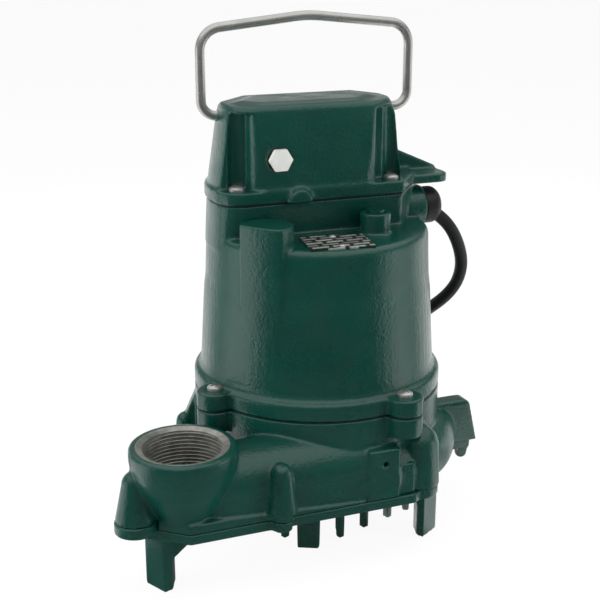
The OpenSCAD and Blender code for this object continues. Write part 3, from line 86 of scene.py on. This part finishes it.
class Mat:
    """A Principled material with a few noise-driven details. Distances are in metres."""

    def __init__(self, name, color, rough, metallic=0.0, **sockets):
        self.m = bpy.data.materials.new(name)
        self.m.use_nodes = True
        self.t = self.m.node_tree
        self.n = self.t.nodes
        self.bsdf = self.n["Principled BSDF"]
        self.bsdf.inputs["Base Color"].default_value = (*color, 1)
        self.bsdf.inputs["Roughness"].default_value = rough
        self.bsdf.inputs["Metallic"].default_value = metallic
        for k, v in sockets.items():
            self.bsdf.inputs[k.replace("_", " ")].default_value = v
        self.coord = self.n.new("ShaderNodeTexCoord").outputs["Object"]
        self.normal = None

    def link(self, a, b):
        self.t.links.new(a, b)

    def noise(self, scale, detail=2.0, rough=0.5, stretch=None):
        """Noise with a cell of about 1/scale metres."""
        vec = self.coord
        if stretch:
            mp = self.n.new("ShaderNodeMapping")
            mp.inputs["Scale"].default_value = stretch
            self.link(vec, mp.inputs["Vector"])
            vec = mp.outputs["Vector"]
        t = self.n.new("ShaderNodeTexNoise")
        t.inputs["Scale"].default_value = scale
        t.inputs["Detail"].default_value = detail
        t.inputs["Roughness"].default_value = rough
        self.link(vec, t.inputs["Vector"])
        return t.outputs["Fac"]

    def ramp(self, fac, a, b, lo=0.0, hi=1.0):
        """Runs from a to b as fac goes from lo to hi."""
        r = self.n.new("ShaderNodeMapRange")
        r.inputs["From Min"].default_value = lo
        r.inputs["From Max"].default_value = hi
        r.inputs["To Min"].default_value = a
        r.inputs["To Max"].default_value = b
        self.link(fac, r.inputs["Value"])
        return r.outputs["Result"]

    def mix(self, fac, a, b):
        m = self.n.new("ShaderNodeMix")
        m.data_type = "RGBA"
        self.link(fac, m.inputs["Factor"])
        for key, c in (("A", a), ("B", b)):
            sock = rgba(m.inputs, key)
            if isinstance(c, tuple):
                sock.default_value = (*c, 1)
            else:
                self.link(c, sock)
        return rgba(m.outputs, "Result")

    def bump(self, height, distance, strength=1.0):
        b = self.n.new("ShaderNodeBump")
        b.inputs["Strength"].default_value = strength
        b.inputs["Distance"].default_value = distance
        self.link(height, b.inputs["Height"])
        if self.normal is not None:
            self.link(self.normal, b.inputs["Normal"])
        self.normal = b.outputs["Normal"]
        self.link(self.normal, self.bsdf.inputs["Normal"])

    def color(self, sock):
        self.link(sock, self.bsdf.inputs["Base Color"])

    def rough(self, sock):
        self.link(sock, self.bsdf.inputs["Roughness"])

    def mottle(self, scale, dark, light, detail=3, roughness=0.5, span=(0.3, 0.7)):
        """Lets the colour wander between two shades, over the given span of the noise."""
        fac = self.ramp(self.noise(scale, detail, roughness), 0, 1, *span)
        self.color(self.mix(fac, dark, light))


def enamel():
    """Green enamel over sand-cast iron: waves, orange peel and the sand's grain."""
    m = Mat("green_enamel", (0.002, 0.04, 0.0285), 0.2, IOR=1.68)
    broad = m.ramp(m.noise(22, 3, 0.6), 0, 1, 0.35, 0.7)
    spots = m.ramp(m.noise(140, 2, 0.6), 0, 0.3, 0.55, 0.78)
    base = m.mix(broad, (0.0016, 0.037, 0.0265), (0.0024, 0.045, 0.0325))
    m.color(m.mix(spots, base, (0.0035, 0.056, 0.041)))
    m.rough(m.ramp(m.noise(60, 3), 0.15, 0.27, 0.3, 0.7))
    m.bump(m.noise(60, 2, 0.5), 0.0006, 0.5)
    m.bump(m.noise(260, 2, 0.5), 0.00018, 0.6)
    m.bump(m.noise(640, 2, 0.6), 0.00034, 0.8)
    return m.m


def painted_gasket():
    m = Mat("painted_gasket", (0.0022, 0.014, 0.0105), 0.55)
    m.mottle(180, (0.0018, 0.011, 0.008), (0.003, 0.02, 0.015))
    m.bump(m.noise(700, 2), 0.0001, 0.5)
    return m.m


def bare_iron():
    m = Mat("bare_iron", (0.17, 0.17, 0.15), 0.4, 0.72)
    m.mottle(160, (0.23, 0.228, 0.205), (0.40, 0.395, 0.365), roughness=0.6, span=(0.35, 0.7))
    m.rough(m.ramp(m.noise(300, 2), 0.24, 0.40))
    m.bump(m.noise(500, 2, 0.5, (1, 1, 2)), 0.00004, 0.4)
    return m.m


def stainless():
    m = Mat("stainless", (0.60, 0.60, 0.58), 0.25, 0.87)
    m.mottle(60, (0.56, 0.56, 0.535), (0.68, 0.68, 0.655))
    m.rough(m.ramp(m.noise(200, 2), 0.24, 0.34))
    m.bump(m.noise(240, 1), 0.00002, 0.3)
    return m.m


def steel():
    m = Mat("plain_steel", (0.33, 0.34, 0.35), 0.38, 0.9)
    m.mottle(90, (0.25, 0.26, 0.27), (0.42, 0.43, 0.44))
    m.bump(m.noise(1, 1, 0.5, (200, 200, 1700)), 0.00003, 0.6)
    return m.m


def copper():
    m = Mat("copper", (0.52, 0.2, 0.075), 0.33, 0.9)
    m.mottle(120, (0.40, 0.14, 0.05), (0.62, 0.27, 0.11))
    m.bump(m.noise(1, 1, 0.5, (1400, 1400, 300)), 0.00012, 0.6)
    return m.m


def alu():
    m = Mat("cast_aluminium", (0.6, 0.62, 0.64), 0.42, 0.9)
    m.mottle(150, (0.50, 0.52, 0.54), (0.68, 0.70, 0.72))
    m.bump(m.noise(700, 3), 0.00008, 0.5)
    return m.m


def bronze():
    m = Mat("sintered_bronze", (0.42, 0.25, 0.09), 0.45, 0.85)
    m.mottle(300, (0.32, 0.18, 0.06), (0.50, 0.31, 0.12))
    m.bump(m.noise(2600, 2), 0.00004, 0.6)
    return m.m


def brass():
    m = Mat("bright_brass", (0.62, 0.42, 0.14), 0.26, 1.0)
    m.mottle(120, (0.55, 0.36, 0.11), (0.68, 0.48, 0.18))
    m.bump(m.noise(1500, 1), 0.00002, 0.4)
    return m.m


def rubber():
    m = Mat("black_rubber", (0.008, 0.008, 0.0085), 0.46)
    m.mottle(70, (0.006, 0.0062, 0.0066), (0.0105, 0.0108, 0.0112))
    m.rough(m.ramp(m.noise(300, 2), 0.36, 0.52))
    m.bump(m.noise(1300, 2), 0.00005, 0.5)
    return m.m


def plastic():
    m = Mat("dark_plastic", (0.025, 0.027, 0.03), 0.5)
    m.mottle(80, (0.02, 0.022, 0.024), (0.034, 0.036, 0.04), detail=2)
    m.bump(m.noise(1600, 2), 0.00005, 0.5)
    return m.m


def pale(name, a, b, rough):
    """Insulation, cap, nylon, ceramic or carbon: two near shades, a and b, with a fine grain."""
    m = Mat(name, a, rough)
    m.mottle(180, a, b)
    m.bump(m.noise(900, 2), 0.00005, 0.5)
    return m.m


def etched_plate():
    """Black plate with rows of blank pale fields."""
    m = Mat("etched_plate", (0.03, 0.03, 0.028), 0.34, 0.3)
    low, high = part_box("name_plate")
    edge_x, edge_y = 0.0006, 0.0004      # black margins round the fields
    mp = m.n.new("ShaderNodeMapping")
    mp.vector_type = "TEXTURE"
    mp.inputs["Location"].default_value = (low.x + edge_x, low.y + edge_y, 0)
    mp.inputs["Scale"].default_value = (high.x - low.x - 2 * edge_x, high.y - low.y - 2 * edge_y, 1)
    m.link(m.coord, mp.inputs["Vector"])
    t = m.n.new("ShaderNodeTexBrick")
    t.offset, t.offset_frequency = 0.37, 2
    for key, v in (("Scale", 1.0), ("Mortar Size", 0.034), ("Mortar Smooth", 0.15), ("Bias", 0.0),
                   ("Brick Width", 0.31), ("Row Height", 0.145)):
        t.inputs[key].default_value = v
    t.inputs["Color1"].default_value = (0.46, 0.48, 0.44, 1)
    t.inputs["Color2"].default_value = (0.15, 0.16, 0.145, 1)
    t.inputs["Mortar"].default_value = (0.02, 0.021, 0.019, 1)
    m.link(mp.outputs["Vector"], t.inputs["Vector"])
    scratches = m.noise(1, 2, 0.6, (1500, 90, 90))
    m.color(m.mix(m.ramp(scratches, 0, 0.45, 0.35, 0.75), t.outputs["Color"], (0.03, 0.031, 0.029)))
    m.rough(m.ramp(scratches, 0.3, 0.48))
    m.bump(scratches, 0.00003, 0.6)
    return m.m


MATERIALS = {
    "enamel": enamel(),
    "cast_iron": bare_iron(),
    "stainless": stainless(),
    "steel": steel(),
    "copper": copper(),
    "aluminium": alu(),
    "bronze": bronze(),
    "brass": brass(),
    "rubber": rubber(),
    "plastic": plastic(),
    "wire_white": pale("wire_insulation", (0.72, 0.72, 0.69), (0.64, 0.64, 0.61), 0.35),
    "splice": pale("splice_cap", (0.46, 0.32, 0.09), (0.38, 0.26, 0.07), 0.45),
    "nylon": pale("white_nylon", (0.64, 0.65, 0.62), (0.56, 0.57, 0.54), 0.4),
    "ceramic": pale("ceramic", (0.66, 0.63, 0.56), (0.6, 0.57, 0.5), 0.22),
    "carbon": pale("carbon", (0.028, 0.028, 0.03), (0.04, 0.04, 0.042), 0.3),
    "plate_black": etched_plate(),
}
SLOT_OF = {s["node"]: s["material_slot"] for s in frame["record"]["subparts"]}
for node, obj in frame["nodes"].items():
    mat = MATERIALS[SLOT_OF[node]]
    if not obj.material_slots:
        obj.data.materials.append(mat)
    for s in obj.material_slots:
        s.material = mat
PAINTED = painted_gasket()
for s in frame["nodes"]["casing_gasket"].material_slots:
    s.material = PAINTED


# ---- helpers --------------------------------------------------------------------------------
def new_object(name, mesh, slot, body="pump"):
    """Piece of the pump with the finish of a material slot, riding on a body."""
    obj = bpy.data.objects.new(name, mesh)
    scene.collection.objects.link(obj)
    obj.data.materials.clear()
    obj.data.materials.append(MATERIALS[slot])
    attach(obj, body)
    return obj


def mesh_of(name, verts, faces, smooth=True):
    me = bpy.data.meshes.new(name)
    me.from_pydata([tuple(v) for v in verts], [], faces)
    me.update()
    me.polygons.foreach_set("use_smooth", [smooth] * len(me.polygons))
    return me


def grid_faces(rows, columns, closed):
    """Faces between rows of points, round from the last row to the first.
    Where closed is true, each row also joins from its last point to its first."""
    faces = []
    for i in range(rows):
        j = (i + 1) % rows
        for k in range(columns if closed else columns - 1):
            after = (k + 1) % columns
            faces.append((i * columns + k, j * columns + k, j * columns + after, i * columns + after))
    return faces


def lathe(name, profile, origin, axis, slot, segs=64):
    """Closed profile of (radius, distance along the axis) in millimetres, turned about the axis."""
    axis = Vector(axis).normalized()
    side = axis.orthogonal().normalized()
    up = axis.cross(side)
    verts = []
    for k in range(segs):
        a = 2 * math.pi * k / segs
        out = side * math.cos(a) + up * math.sin(a)
        verts += [Vector(origin) + axis * (h * MM) + out * (max(r, 0.001) * MM) for r, h in profile]
    me = mesh_of(name, verts, grid_faces(segs, len(profile), False))
    bm = bmesh.new()
    bm.from_mesh(me)
    bmesh.ops.remove_doubles(bm, verts=bm.verts, dist=2e-6)
    bmesh.ops.recalc_face_normals(bm, faces=bm.faces)
    bm.to_mesh(me)
    bm.free()
    return new_object(name, me, slot)


def wire(name, points, radius, slot, body="pump", resolution=5):
    """Round wire along points in metres."""
    cu = bpy.data.curves.new(name, "CURVE")
    cu.dimensions = "3D"
    cu.bevel_depth = radius
    cu.bevel_resolution = resolution
    cu.use_fill_caps = True
    sp = cu.splines.new("POLY")
    sp.points.add(len(points) - 1)
    for p, q in zip(sp.points, points):
        p.co = (*q, 1)
    sp.use_smooth = True
    return new_object(name, cu, slot, body)


# ---- cord -----------------------------------------------------------------------------------
CORD_MM, CORD_LENGTH = 8.0, 2.743    # thickness in millimetres, length in metres
# From the gland to the coil, in millimetres from the shaft's axis, as part.scad has it
ROUTE = [
    (81.6, 6, 181.6), (84.9, 6, 179.2), (88.6, 6, 176), (92.6, 6, 171.5), (96.2, 6.3, 166.1),
    (99.3, 6.8, 160), (101.8, 7.5, 153.5), (103.4, 8.5, 146.5), (103.6, 10, 139.5),
    (102.3, 12, 132.5), (99.3, 14.5, 126), (95.3, 18, 120), (91.5, 23.5, 114),
    (88.5, 31, 107.5), (87, 40, 100), (86.8, 50, 91.5), (87.3, 60.5, 81.5),
    (88.5, 71.5, 70), (90, 82.5, 58.5), (92, 93, 47.5), (94.5, 103.5, 37),
    (97, 113.5, 28), (99, 123, 20),
]
COIL, COIL_R = (55, 142), 48.0       # the coil's centre and mean radius
COIL_TURN = 8 * 360 + 46             # degrees from the coil's start to its end
# Places in the coil's section that the turns take one after the other: column, layer
SLOTS = [(0, 2), (-1, 2), (-1, 1), (-1, 0), (0, 0), (0, 1), (1, 1), (1, 2), (0.9, 2.55)]
# From the coil's end to the plug
TAIL = [(102, 171, 26.5), (96.4, 177.5, 29), (90.5, 182, 31.5), (84.3, 185.5, 34),
        (77, 188, 36.5), (70, 189, 37.8), (62, 189, 38)]


def coil_points(radius):
    """The coil's turns, each a cord's thickness beside or on another."""
    first = math.degrees(math.atan2(ROUTE[-1][1] - COIL[1], ROUTE[-1][0] - COIL[0]))
    # The cord begins to change its place at these degrees, and the change lasts 80
    change_from, change_every, change = 245, 320, 80
    out = []
    steps = int(COIL_TURN / 6)
    for i in range(steps + 1):
        turn = first + COIL_TURN * i / steps
        column, layer = SLOTS[0]
        for k in range(1, len(SLOTS)):
            begin = change_from + change_every * (k - 1)
            f = min(max((turn - begin) / change, 0), 1)
            f = 0.5 - 0.5 * math.cos(math.pi * f)
            column += (SLOTS[k][0] - SLOTS[k - 1][0]) * f
            layer += (SLOTS[k][1] - SLOTS[k - 1][1]) * f
        r = radius + column * CORD_MM
        a = math.radians(turn)
        out.append((COIL[0] + r * math.cos(a), COIL[1] + r * math.sin(a),
                    CORD_MM / 2 + layer * CORD_MM))
    return out


def smooth_path(pts, step=3.0):
    """Catmull-Rom curve through pts, sampled about every step millimetres."""
    p = [np.array(q, float) for q in pts]
    p = [2 * p[0] - p[1]] + p + [2 * p[-1] - p[-2]]
    out = []
    for i in range(1, len(p) - 2):
        n = max(2, int(np.linalg.norm(p[i + 1] - p[i]) / step))
        for k in range(n):
            t = k / n
            a, b, c, d = p[i - 1], p[i], p[i + 1], p[i + 2]
            out.append(0.5 * (2 * b + (c - a) * t + (2 * a - 5 * b + 4 * c - d) * t * t
                              + (3 * b - a - 3 * c + d) * t ** 3))
    out.append(p[-2])
    return out


def length_of(pts):
    """Length of a line through points."""
    return sum(float(np.linalg.norm(np.array(b) - np.array(a))) for a, b in zip(pts, pts[1:]))


def cord_points():
    """Route, coil and tail. The coil's radius is the one that gives the cord its length."""
    low, high = COIL_R - 3, COIL_R + 3
    for _ in range(24):
        mid = (low + high) / 2
        coil = coil_points(mid)
        pts = smooth_path(ROUTE)[:-1] + coil + smooth_path([coil[-1]] + TAIL)[1:]
        if length_of(pts) * MM > CORD_LENGTH:
            high = mid
        else:
            low = mid
    return pts


cord = wire("cord", [at(*p) for p in cord_points()], CORD_MM / 2 * MM, "rubber", resolution=4)
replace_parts(cord, "power_cord", "cord_coil", "cord_tail")


# ---- handle ---------------------------------------------------------------------------------
# Millimetres, to the wire's middle except for the height, which is to its top
BAIL_WIRE = 2.8                                      # radius of the wire
BAIL_MID, BAIL_Y, BAIL_Z = -2.4, 10, 249             # middle of the line through the wire's ends
BAIL_HALF, BAIL_H = 64.4, 56.8                       # half width at the legs, height above the ends
BAIL_LOW_R, BAIL_TOP_R, BAIL_BOW_R = 9.0, 13.0, 80.0 # bends at the foot, shoulder and middle
BAIL_TILT = math.radians(6)                          # slope of the top bar's halves
BAIL_GRIPS = (14, 7)                                 # how far the right and left ends reach into the cover


def arc(cx, cz, r, start, end, count):
    """Points on an arc, from one angle to another."""
    return [(cx + r * math.cos(a), cz + r * math.sin(a)) for a in np.linspace(start, end, count)]


def handle_points():
    """The wire's middle line, from its right end over the top to its left end."""
    quarter = math.pi / 2
    bow_z = BAIL_H - BAIL_WIRE - BAIL_BOW_R
    corner_x = BAIL_HALF - BAIL_TOP_R
    bow_end = (BAIL_BOW_R * math.sin(BAIL_TILT), bow_z + BAIL_BOW_R * math.cos(BAIL_TILT))
    run_x = corner_x + BAIL_TOP_R * math.sin(BAIL_TILT)
    run_z = bow_end[1] - (run_x - bow_end[0]) * math.tan(BAIL_TILT)
    corner_z = run_z - BAIL_TOP_R * math.cos(BAIL_TILT)

    def half(grip):
        foot_x = BAIL_HALF - BAIL_LOW_R
        pts = [(foot_x - grip, 0)]
        pts += arc(foot_x, BAIL_LOW_R, BAIL_LOW_R, -quarter, 0, 13)
        pts += arc(corner_x, corner_z, BAIL_TOP_R, 0, quarter - BAIL_TILT, 15)
        pts += arc(0, bow_z, BAIL_BOW_R, quarter - BAIL_TILT, quarter, 8)
        return pts
    right, left = (half(grip) for grip in BAIL_GRIPS)
    line = right + [(-x, z) for x, z in reversed(left[:-1])]
    return [at(BAIL_MID + x, BAIL_Y, BAIL_Z + z) for x, z in line]


bail = wire("bail_wire", handle_points(), BAIL_WIRE * MM, "stainless", "bail", resolution=7)
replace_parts(bail, "bail_handle")


# ---- castings -------------------------------------------------------------------------------
VOXEL = 0.9   # millimetres
# Heights of the machined joint faces, which keep their edges
JOINTS = [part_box("volute_casing")[0].z / MM] + [
    h.z / MM for node in ("casing_gasket", "cover_gasket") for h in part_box(node)]
AT_JOINT = 0.3                  # share of the smoothing that is left beside a joint face
JOINT_NEAR, JOINT_FADE = 0.4, 2.4    # how far from the face that holds, and over what height it fades


def applied(obj):
    """The object's mesh with its modifiers."""
    dg = bpy.context.evaluated_depsgraph_get()
    return bpy.data.meshes.new_from_object(obj.evaluated_get(dg))


def points_of(me):
    """The mesh's points, one row each."""
    co = np.empty(len(me.vertices) * 3)
    me.vertices.foreach_get("co", co)
    return co.reshape(-1, 3)


def soften_group(obj, z):
    """Vertex group that keeps the smoothing off the joint faces. z is each vertex's height."""
    away = np.min([np.abs(z - h) for h in JOINTS], axis=0)
    weight = AT_JOINT + (1 - AT_JOINT) * np.clip((away - JOINT_NEAR) / JOINT_FADE, 0, 1)
    group = obj.vertex_groups.new(name="soft")
    steps = 6
    for level in range(steps + 1):
        at_level = np.nonzero(np.round((weight - AT_JOINT) / (1 - AT_JOINT) * steps) == level)[0]
        group.add(at_level.tolist(), AT_JOINT + (1 - AT_JOINT) * level / steps, "REPLACE")


def cast(node, rounds, shape=None):
    """The CAD solid as a casting: its edges and inner corners rounded as sand-cast iron has them,
    except beside the machined joint faces. shape, if given, moves the points at the end."""
    src = frame["nodes"][node]
    obj = bpy.data.objects.new(node + "_cast", src.data.copy())
    scene.collection.objects.link(obj)
    obj.matrix_world = src.matrix_world
    r = obj.modifiers.new("remesh", "REMESH")
    r.mode = "VOXEL"
    r.voxel_size = VOXEL * MM
    me = applied(obj)
    obj.modifiers.clear()
    obj.data = me
    soften_group(obj, points_of(me)[:, 2] / MM)
    s = obj.modifiers.new("smooth", "SMOOTH")
    s.factor = 0.5
    s.iterations = rounds
    s.vertex_group = "soft"
    done = applied(obj)
    bpy.data.objects.remove(obj)
    if shape:
        done.vertices.foreach_set("co", shape(points_of(done)).ravel())
        done.update()
    done.polygons.foreach_set("use_smooth", [True] * len(done.polygons))
    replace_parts(new_object(node + "_cast", done, "enamel"), node)


OUTLET = at(-103.6, -62.2, 0)
BORE_R = 24.3                         # the casting's bore behind the machined thread ring
BORE_Z0, BORE_Z1 = 62.5, 85.0         # the heights it is widened between
BORE_CLEAR = 12                       # points nearer the axis than this are left alone
# The cone of the mouth: its radius at a height, and rise over run
MOUTH_R, MOUTH_Z, MOUTH_SLOPE = 22.3, 82.75, 0.36


def open_mouth(co):
    """Widens the casting's bore behind the machined thread ring."""
    centre = np.array([OUTLET.x, OUTLET.y])
    d = co[:, :2] - centre
    r = np.linalg.norm(d, axis=1) / MM
    z = co[:, 2] / MM
    want = np.maximum(BORE_R, MOUTH_R + (z - MOUTH_Z) / MOUTH_SLOPE)
    sel = (r < want) & (z > BORE_Z0) & (z < BORE_Z1) & (r > BORE_CLEAR)
    k = np.ones(len(r))
    k[sel] = want[sel] / r[sel]
    co[:, :2] = centre + d * k[:, None]
    return co


cast("volute_casing", 7, open_mouth)
cast("base_plate", 5)
cast("motor_housing", 6)
cast("top_cover", 6)

THREAD_Z0, THREAD_Z1 = 62.8, 82.6
THREAD_PITCH, THREAD_R, THREAD_DEPTH = 2.2, 21.9, 1.35      # THREAD_R is at the crests
THREAD_FLAT = 0.12                    # share of the height cut flat at the crests, and at the roots
RUNOUT_TOP, RUNOUT_LOW = 1.2, 1.6     # heights over which the thread fades at its ends
ROWS_PER_TURN, THREAD_SEGS = 10, 144
# Lead-in, rim and outside of the ring: radius, height
RING_OUTSIDE = [(22.05, 82.72), (25.3, 83.86), (25.55, 83.98), (25.75, 83.9), (25.7, 83.4), (24.15, 82.4),
                (24.15, 62.9)]


def thread_ring():
    """Machined mouth of the outlet: pipe thread, lead-in and the ring's outside in the casting."""
    segs = THREAD_SEGS
    rows = []
    steps = int((THREAD_Z1 - THREAD_Z0) / THREAD_PITCH * ROWS_PER_TURN)
    for i in range(steps + 1):
        z = THREAD_Z0 + (THREAD_Z1 - THREAD_Z0) * i / steps
        fade = max(min(1, (THREAD_Z1 - z) / RUNOUT_TOP, (z - THREAD_Z0) / RUNOUT_LOW), 0)
        row = []
        for k in range(segs):
            phase = (z / THREAD_PITCH + k / segs) % 1.0
            tooth = 1 - abs(2 * phase - 1)
            flank = min(max((tooth - THREAD_FLAT) / (1 - 2 * THREAD_FLAT), 0), 1)
            row.append((THREAD_R + THREAD_DEPTH * flank * fade, z))
        rows.append(row)
    rows += [[place] * segs for place in RING_OUTSIDE]
    verts = []
    for row in rows:
        for k, (r, z) in enumerate(row):
            a = 2 * math.pi * k / segs
            verts.append((OUTLET.x + r * MM * math.cos(a), OUTLET.y + r * MM * math.sin(a), z * MM))
    me = mesh_of("thread_ring", verts, grid_faces(len(rows), segs, True))
    new_object("outlet_thread", me, "cast_iron")


thread_ring()

# ---- small parts ----------------------------------------------------------------------------
GLAND = at(70.4, 6, 187.5)
gland = lathe("gland_collar", [
    (0, -17.9), (6.4, -17.9), (6.9, -17.2), (6.9, 0.05), (10.9, 0.05), (11.3, 0.5), (11.35, 1.6),
    (11.35, 6.6), (11.2, 7.6), (10.7, 8.8), (9.7, 10.2), (8.4, 11.3), (6.6, 11.95), (0, 12.0)
], GLAND, (1, 0, 0), "rubber", 72)
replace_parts(gland, "cord_gland")
DROOP = math.radians(36)              # how far the cord's sleeve points below level
lathe("gland_sleeve", [
    (0, 0), (7.6, 0), (7.7, 1.5), (7.3, 3.2), (6.9, 4.6), (6.6, 6.4), (6.2, 7.2), (5.4, 7.5), (4.0, 7.5),
    (0, 7.4)
], at(75.5, 6, 186.0), (math.cos(DROOP), 0, -math.sin(DROOP)), "rubber")

# ---- stage and light ------------------------------------------------------------------------
FLOOR_HALF, FLOOR_Z = 6, -0.0004
floor_me = mesh_of("floor", [(-FLOOR_HALF, -FLOOR_HALF, FLOOR_Z), (FLOOR_HALF, -FLOOR_HALF, FLOOR_Z),
                             (FLOOR_HALF, FLOOR_HALF, FLOOR_Z), (-FLOOR_HALF, FLOOR_HALF, FLOOR_Z)],
                   [(0, 1, 2, 3)], False)
floor = bpy.data.objects.new("floor", floor_me)
scene.collection.objects.link(floor)
FRONT, SIDE = (-HEAD_X, -HEAD_Y, 0.0), (HEAD_Y, -HEAD_X, 0.0)
# Brightness that reflections see, by direction round the object: cosine from its front, strength
LEFT_BANDS = [(-1.0, 1.0), (-0.60, 1.0), (-0.36, 0.30), (-0.24, 0.30), (-0.04, 1.0), (0.46, 1.0),
              (0.64, 0.02), (1.0, 0.01)]
RIGHT_BANDS = [(-1.0, 1.0), (-0.46, 1.0), (-0.30, 0.40), (-0.20, 0.40), (0.02, 1.0), (0.28, 1.0),
               (0.42, 0.02), (1.0, 0.01)]
WHITE = (1, 1, 1, 1)
CAMERA_SHARE = 0.93     # how much of the floor the camera sees as plain white; the rest takes the shadow
DIM = 0.12              # least strength that reflections see in the world, and on the floor at the pump
CEILING = 0.85          # strength that reflections see overhead
SOFT = 0.45             # strength of the world's own light


def put(tree, socket, value):
    """Links value to the socket where it is an output, and otherwise writes it there."""
    if isinstance(value, bpy.types.NodeSocket):
        tree.links.new(value, socket)
    else:
        socket.default_value = value


def shader(tree, kind, inputs=(), **settings):
    """New shader node with its settings and (input, value) pairs."""
    n = tree.nodes.new("ShaderNode" + kind)
    for key, value in settings.items():
        setattr(n, key, value)
    for key, value in inputs:
        put(tree, n.inputs[key], value)
    return n


def math_node(tree, operation, a, b):
    """Value of a Math node."""
    return shader(tree, "Math", [(0, a), (1, b)], operation=operation).outputs[0]


def color_mix(tree, fac, a, b):
    """Colour between a and b."""
    n = shader(tree, "Mix", [("Factor", fac)], data_type="RGBA")
    put(tree, rgba(n.inputs, "A"), a)
    put(tree, rgba(n.inputs, "B"), b)
    return rgba(n.outputs, "Result")


def shader_mix(tree, fac, a, b):
    """Shader between a and b."""
    return shader(tree, "MixShader", [(0, fac), (1, a), (2, b)]).outputs[0]


def band_ramp(tree, fac, stops):
    """Strength by cosine, for a fac that runs from 0 at cosine -1 to 1 at cosine 1."""
    r = shader(tree, "ValToRGB", [("Fac", fac)])
    elements = r.color_ramp.elements
    while len(elements) < len(stops):
        elements.new(0.5)
    for element, (cosine, strength) in zip(elements, stops):
        element.position = (cosine + 1) / 2
        element.color = (strength, strength, strength, 1)
    return r.outputs["Color"]


def bands(tree, vector):
    """Strength of the studio round the object in the direction of a level vector."""
    flat = shader(tree, "VectorMath", [(0, vector), (1, (1, 1, 0))], operation="MULTIPLY").outputs[0]
    unit = shader(tree, "VectorMath", [(0, flat)], operation="NORMALIZE").outputs[0]
    front, side = (shader(tree, "VectorMath", [(0, unit), (1, d)], operation="DOT_PRODUCT").outputs["Value"]
                   for d in (FRONT, SIDE))
    spread = shader(tree, "MapRange", [("From Min", -1), ("Value", front)]).outputs["Result"]
    left, right = (band_ramp(tree, spread, stops) for stops in (LEFT_BANDS, RIGHT_BANDS))
    turn = shader(tree, "MapRange", [("From Min", -0.1), ("From Max", 0.1), ("Value", side)])
    return color_mix(tree, turn.outputs["Result"], left, right)


def floor_material():
    """White for the camera, with a faint shadow. Reflections see the studio's bands on it."""
    m = bpy.data.materials.new("floor_white")
    m.use_nodes = True
    t = m.node_tree
    plain = t.nodes["Principled BSDF"]
    plain.inputs["Base Color"].default_value = (0.95, 0.95, 0.95, 1)
    plain.inputs["Roughness"].default_value = 0.8
    plain.inputs["Specular IOR Level"].default_value = 0.1
    ray = shader(t, "LightPath").outputs
    place = shader(t, "TexCoord").outputs["Object"]
    far = shader(t, "VectorMath", [(0, place)], operation="LENGTH").outputs["Value"]
    near = shader(t, "MapRange", [("From Min", 0.2), ("From Max", 0.5), ("To Min", DIM), ("To Max", 0.0),
                                ("Value", far)], interpolation_type="SMOOTHSTEP").outputs["Result"]
    level = math_node(t, "MAXIMUM", bands(t, place), near)
    seen = color_mix(t, ray["Is Camera Ray"], level, WHITE)
    glow = shader(t, "Emission", [("Strength", 1.0), ("Color", seen)]).outputs[0]
    to_camera = math_node(t, "MULTIPLY", ray["Is Camera Ray"], CAMERA_SHARE)
    share = math_node(t, "MAXIMUM", to_camera, ray["Is Glossy Ray"])
    put(t, t.nodes["Material Output"].inputs["Surface"], shader_mix(t, share, plain.outputs[0], glow))
    return m


def studio_world():
    """White for the camera, bands and a bright ceiling for reflections, soft grey for the rest."""
    world = bpy.data.worlds.new("studio")
    world.use_nodes = True
    t = world.node_tree
    t.nodes.clear()
    toward = shader(t, "TexCoord").outputs["Generated"]
    height = shader(t, "SeparateXYZ", [(0, toward)]).outputs["Z"]
    ceiling = shader(t, "MapRange", [("From Min", 0.36), ("From Max", 0.7), ("Value", height)],
                   interpolation_type="SMOOTHSTEP").outputs["Result"]
    # the bands fade above the horizon, down to a dim level of their own
    lift = shader(t, "MapRange", [("From Max", 0.22), ("To Min", 1.0), ("To Max", 0.15),
                                ("Value", height)]).outputs["Result"]
    level = math_node(t, "MAXIMUM", math_node(t, "MULTIPLY", bands(t, toward), lift), DIM)
    over = shader(t, "Mix", [("Factor", ceiling), ("A", level), ("B", CEILING)]).outputs["Result"]
    studio, soft, white = (shader(t, "Background", [("Color", WHITE), ("Strength", strength)]).outputs[0]
                           for strength in (over, SOFT, 1.0))
    ray = shader(t, "LightPath").outputs
    unseen = shader_mix(t, ray["Is Glossy Ray"], soft, studio)
    shader(t, "OutputWorld", [("Surface", shader_mix(t, ray["Is Camera Ray"], unseen, white))])
    return world


floor_me.materials.append(floor_material())
scene.world = studio_world()


def softbox(name, where, size, power, target=(0, 0, 0.13)):
    """Area lamp that lights the pump and doesn't show in reflections."""
    la = bpy.data.lights.new(name, "AREA")
    la.shape = "RECTANGLE"
    la.size, la.size_y = size
    la.energy = power
    ob = bpy.data.objects.new(name, la)
    scene.collection.objects.link(ob)
    ob.location = where
    ob.rotation_mode = "QUATERNION"
    ob.rotation_quaternion = (Vector(target) - Vector(where)).to_track_quat("-Z", "Y")
    ob.visible_glossy = False


softbox("key_left", (-1.4, 0.1, 0.6), (0.8, 1.2), 19)
softbox("key_right", (1.15, -0.76, 0.6), (0.4, 1.1), 12)
softbox("top", (0.1, -0.1, 1.6), (1.4, 1.0), 12)
softbox("fill_front", (-0.8, -1.5, 0.5), (1.2, 0.8), 3)
softbox("rim_left", (-0.42, 0.78, 0.33), (0.6, 0.6), 3, (0, 0, 0.15))
softbox("rim_right", (0.95, 0.35, 0.35), (0.5, 0.6), 3, (0, 0, 0.15))
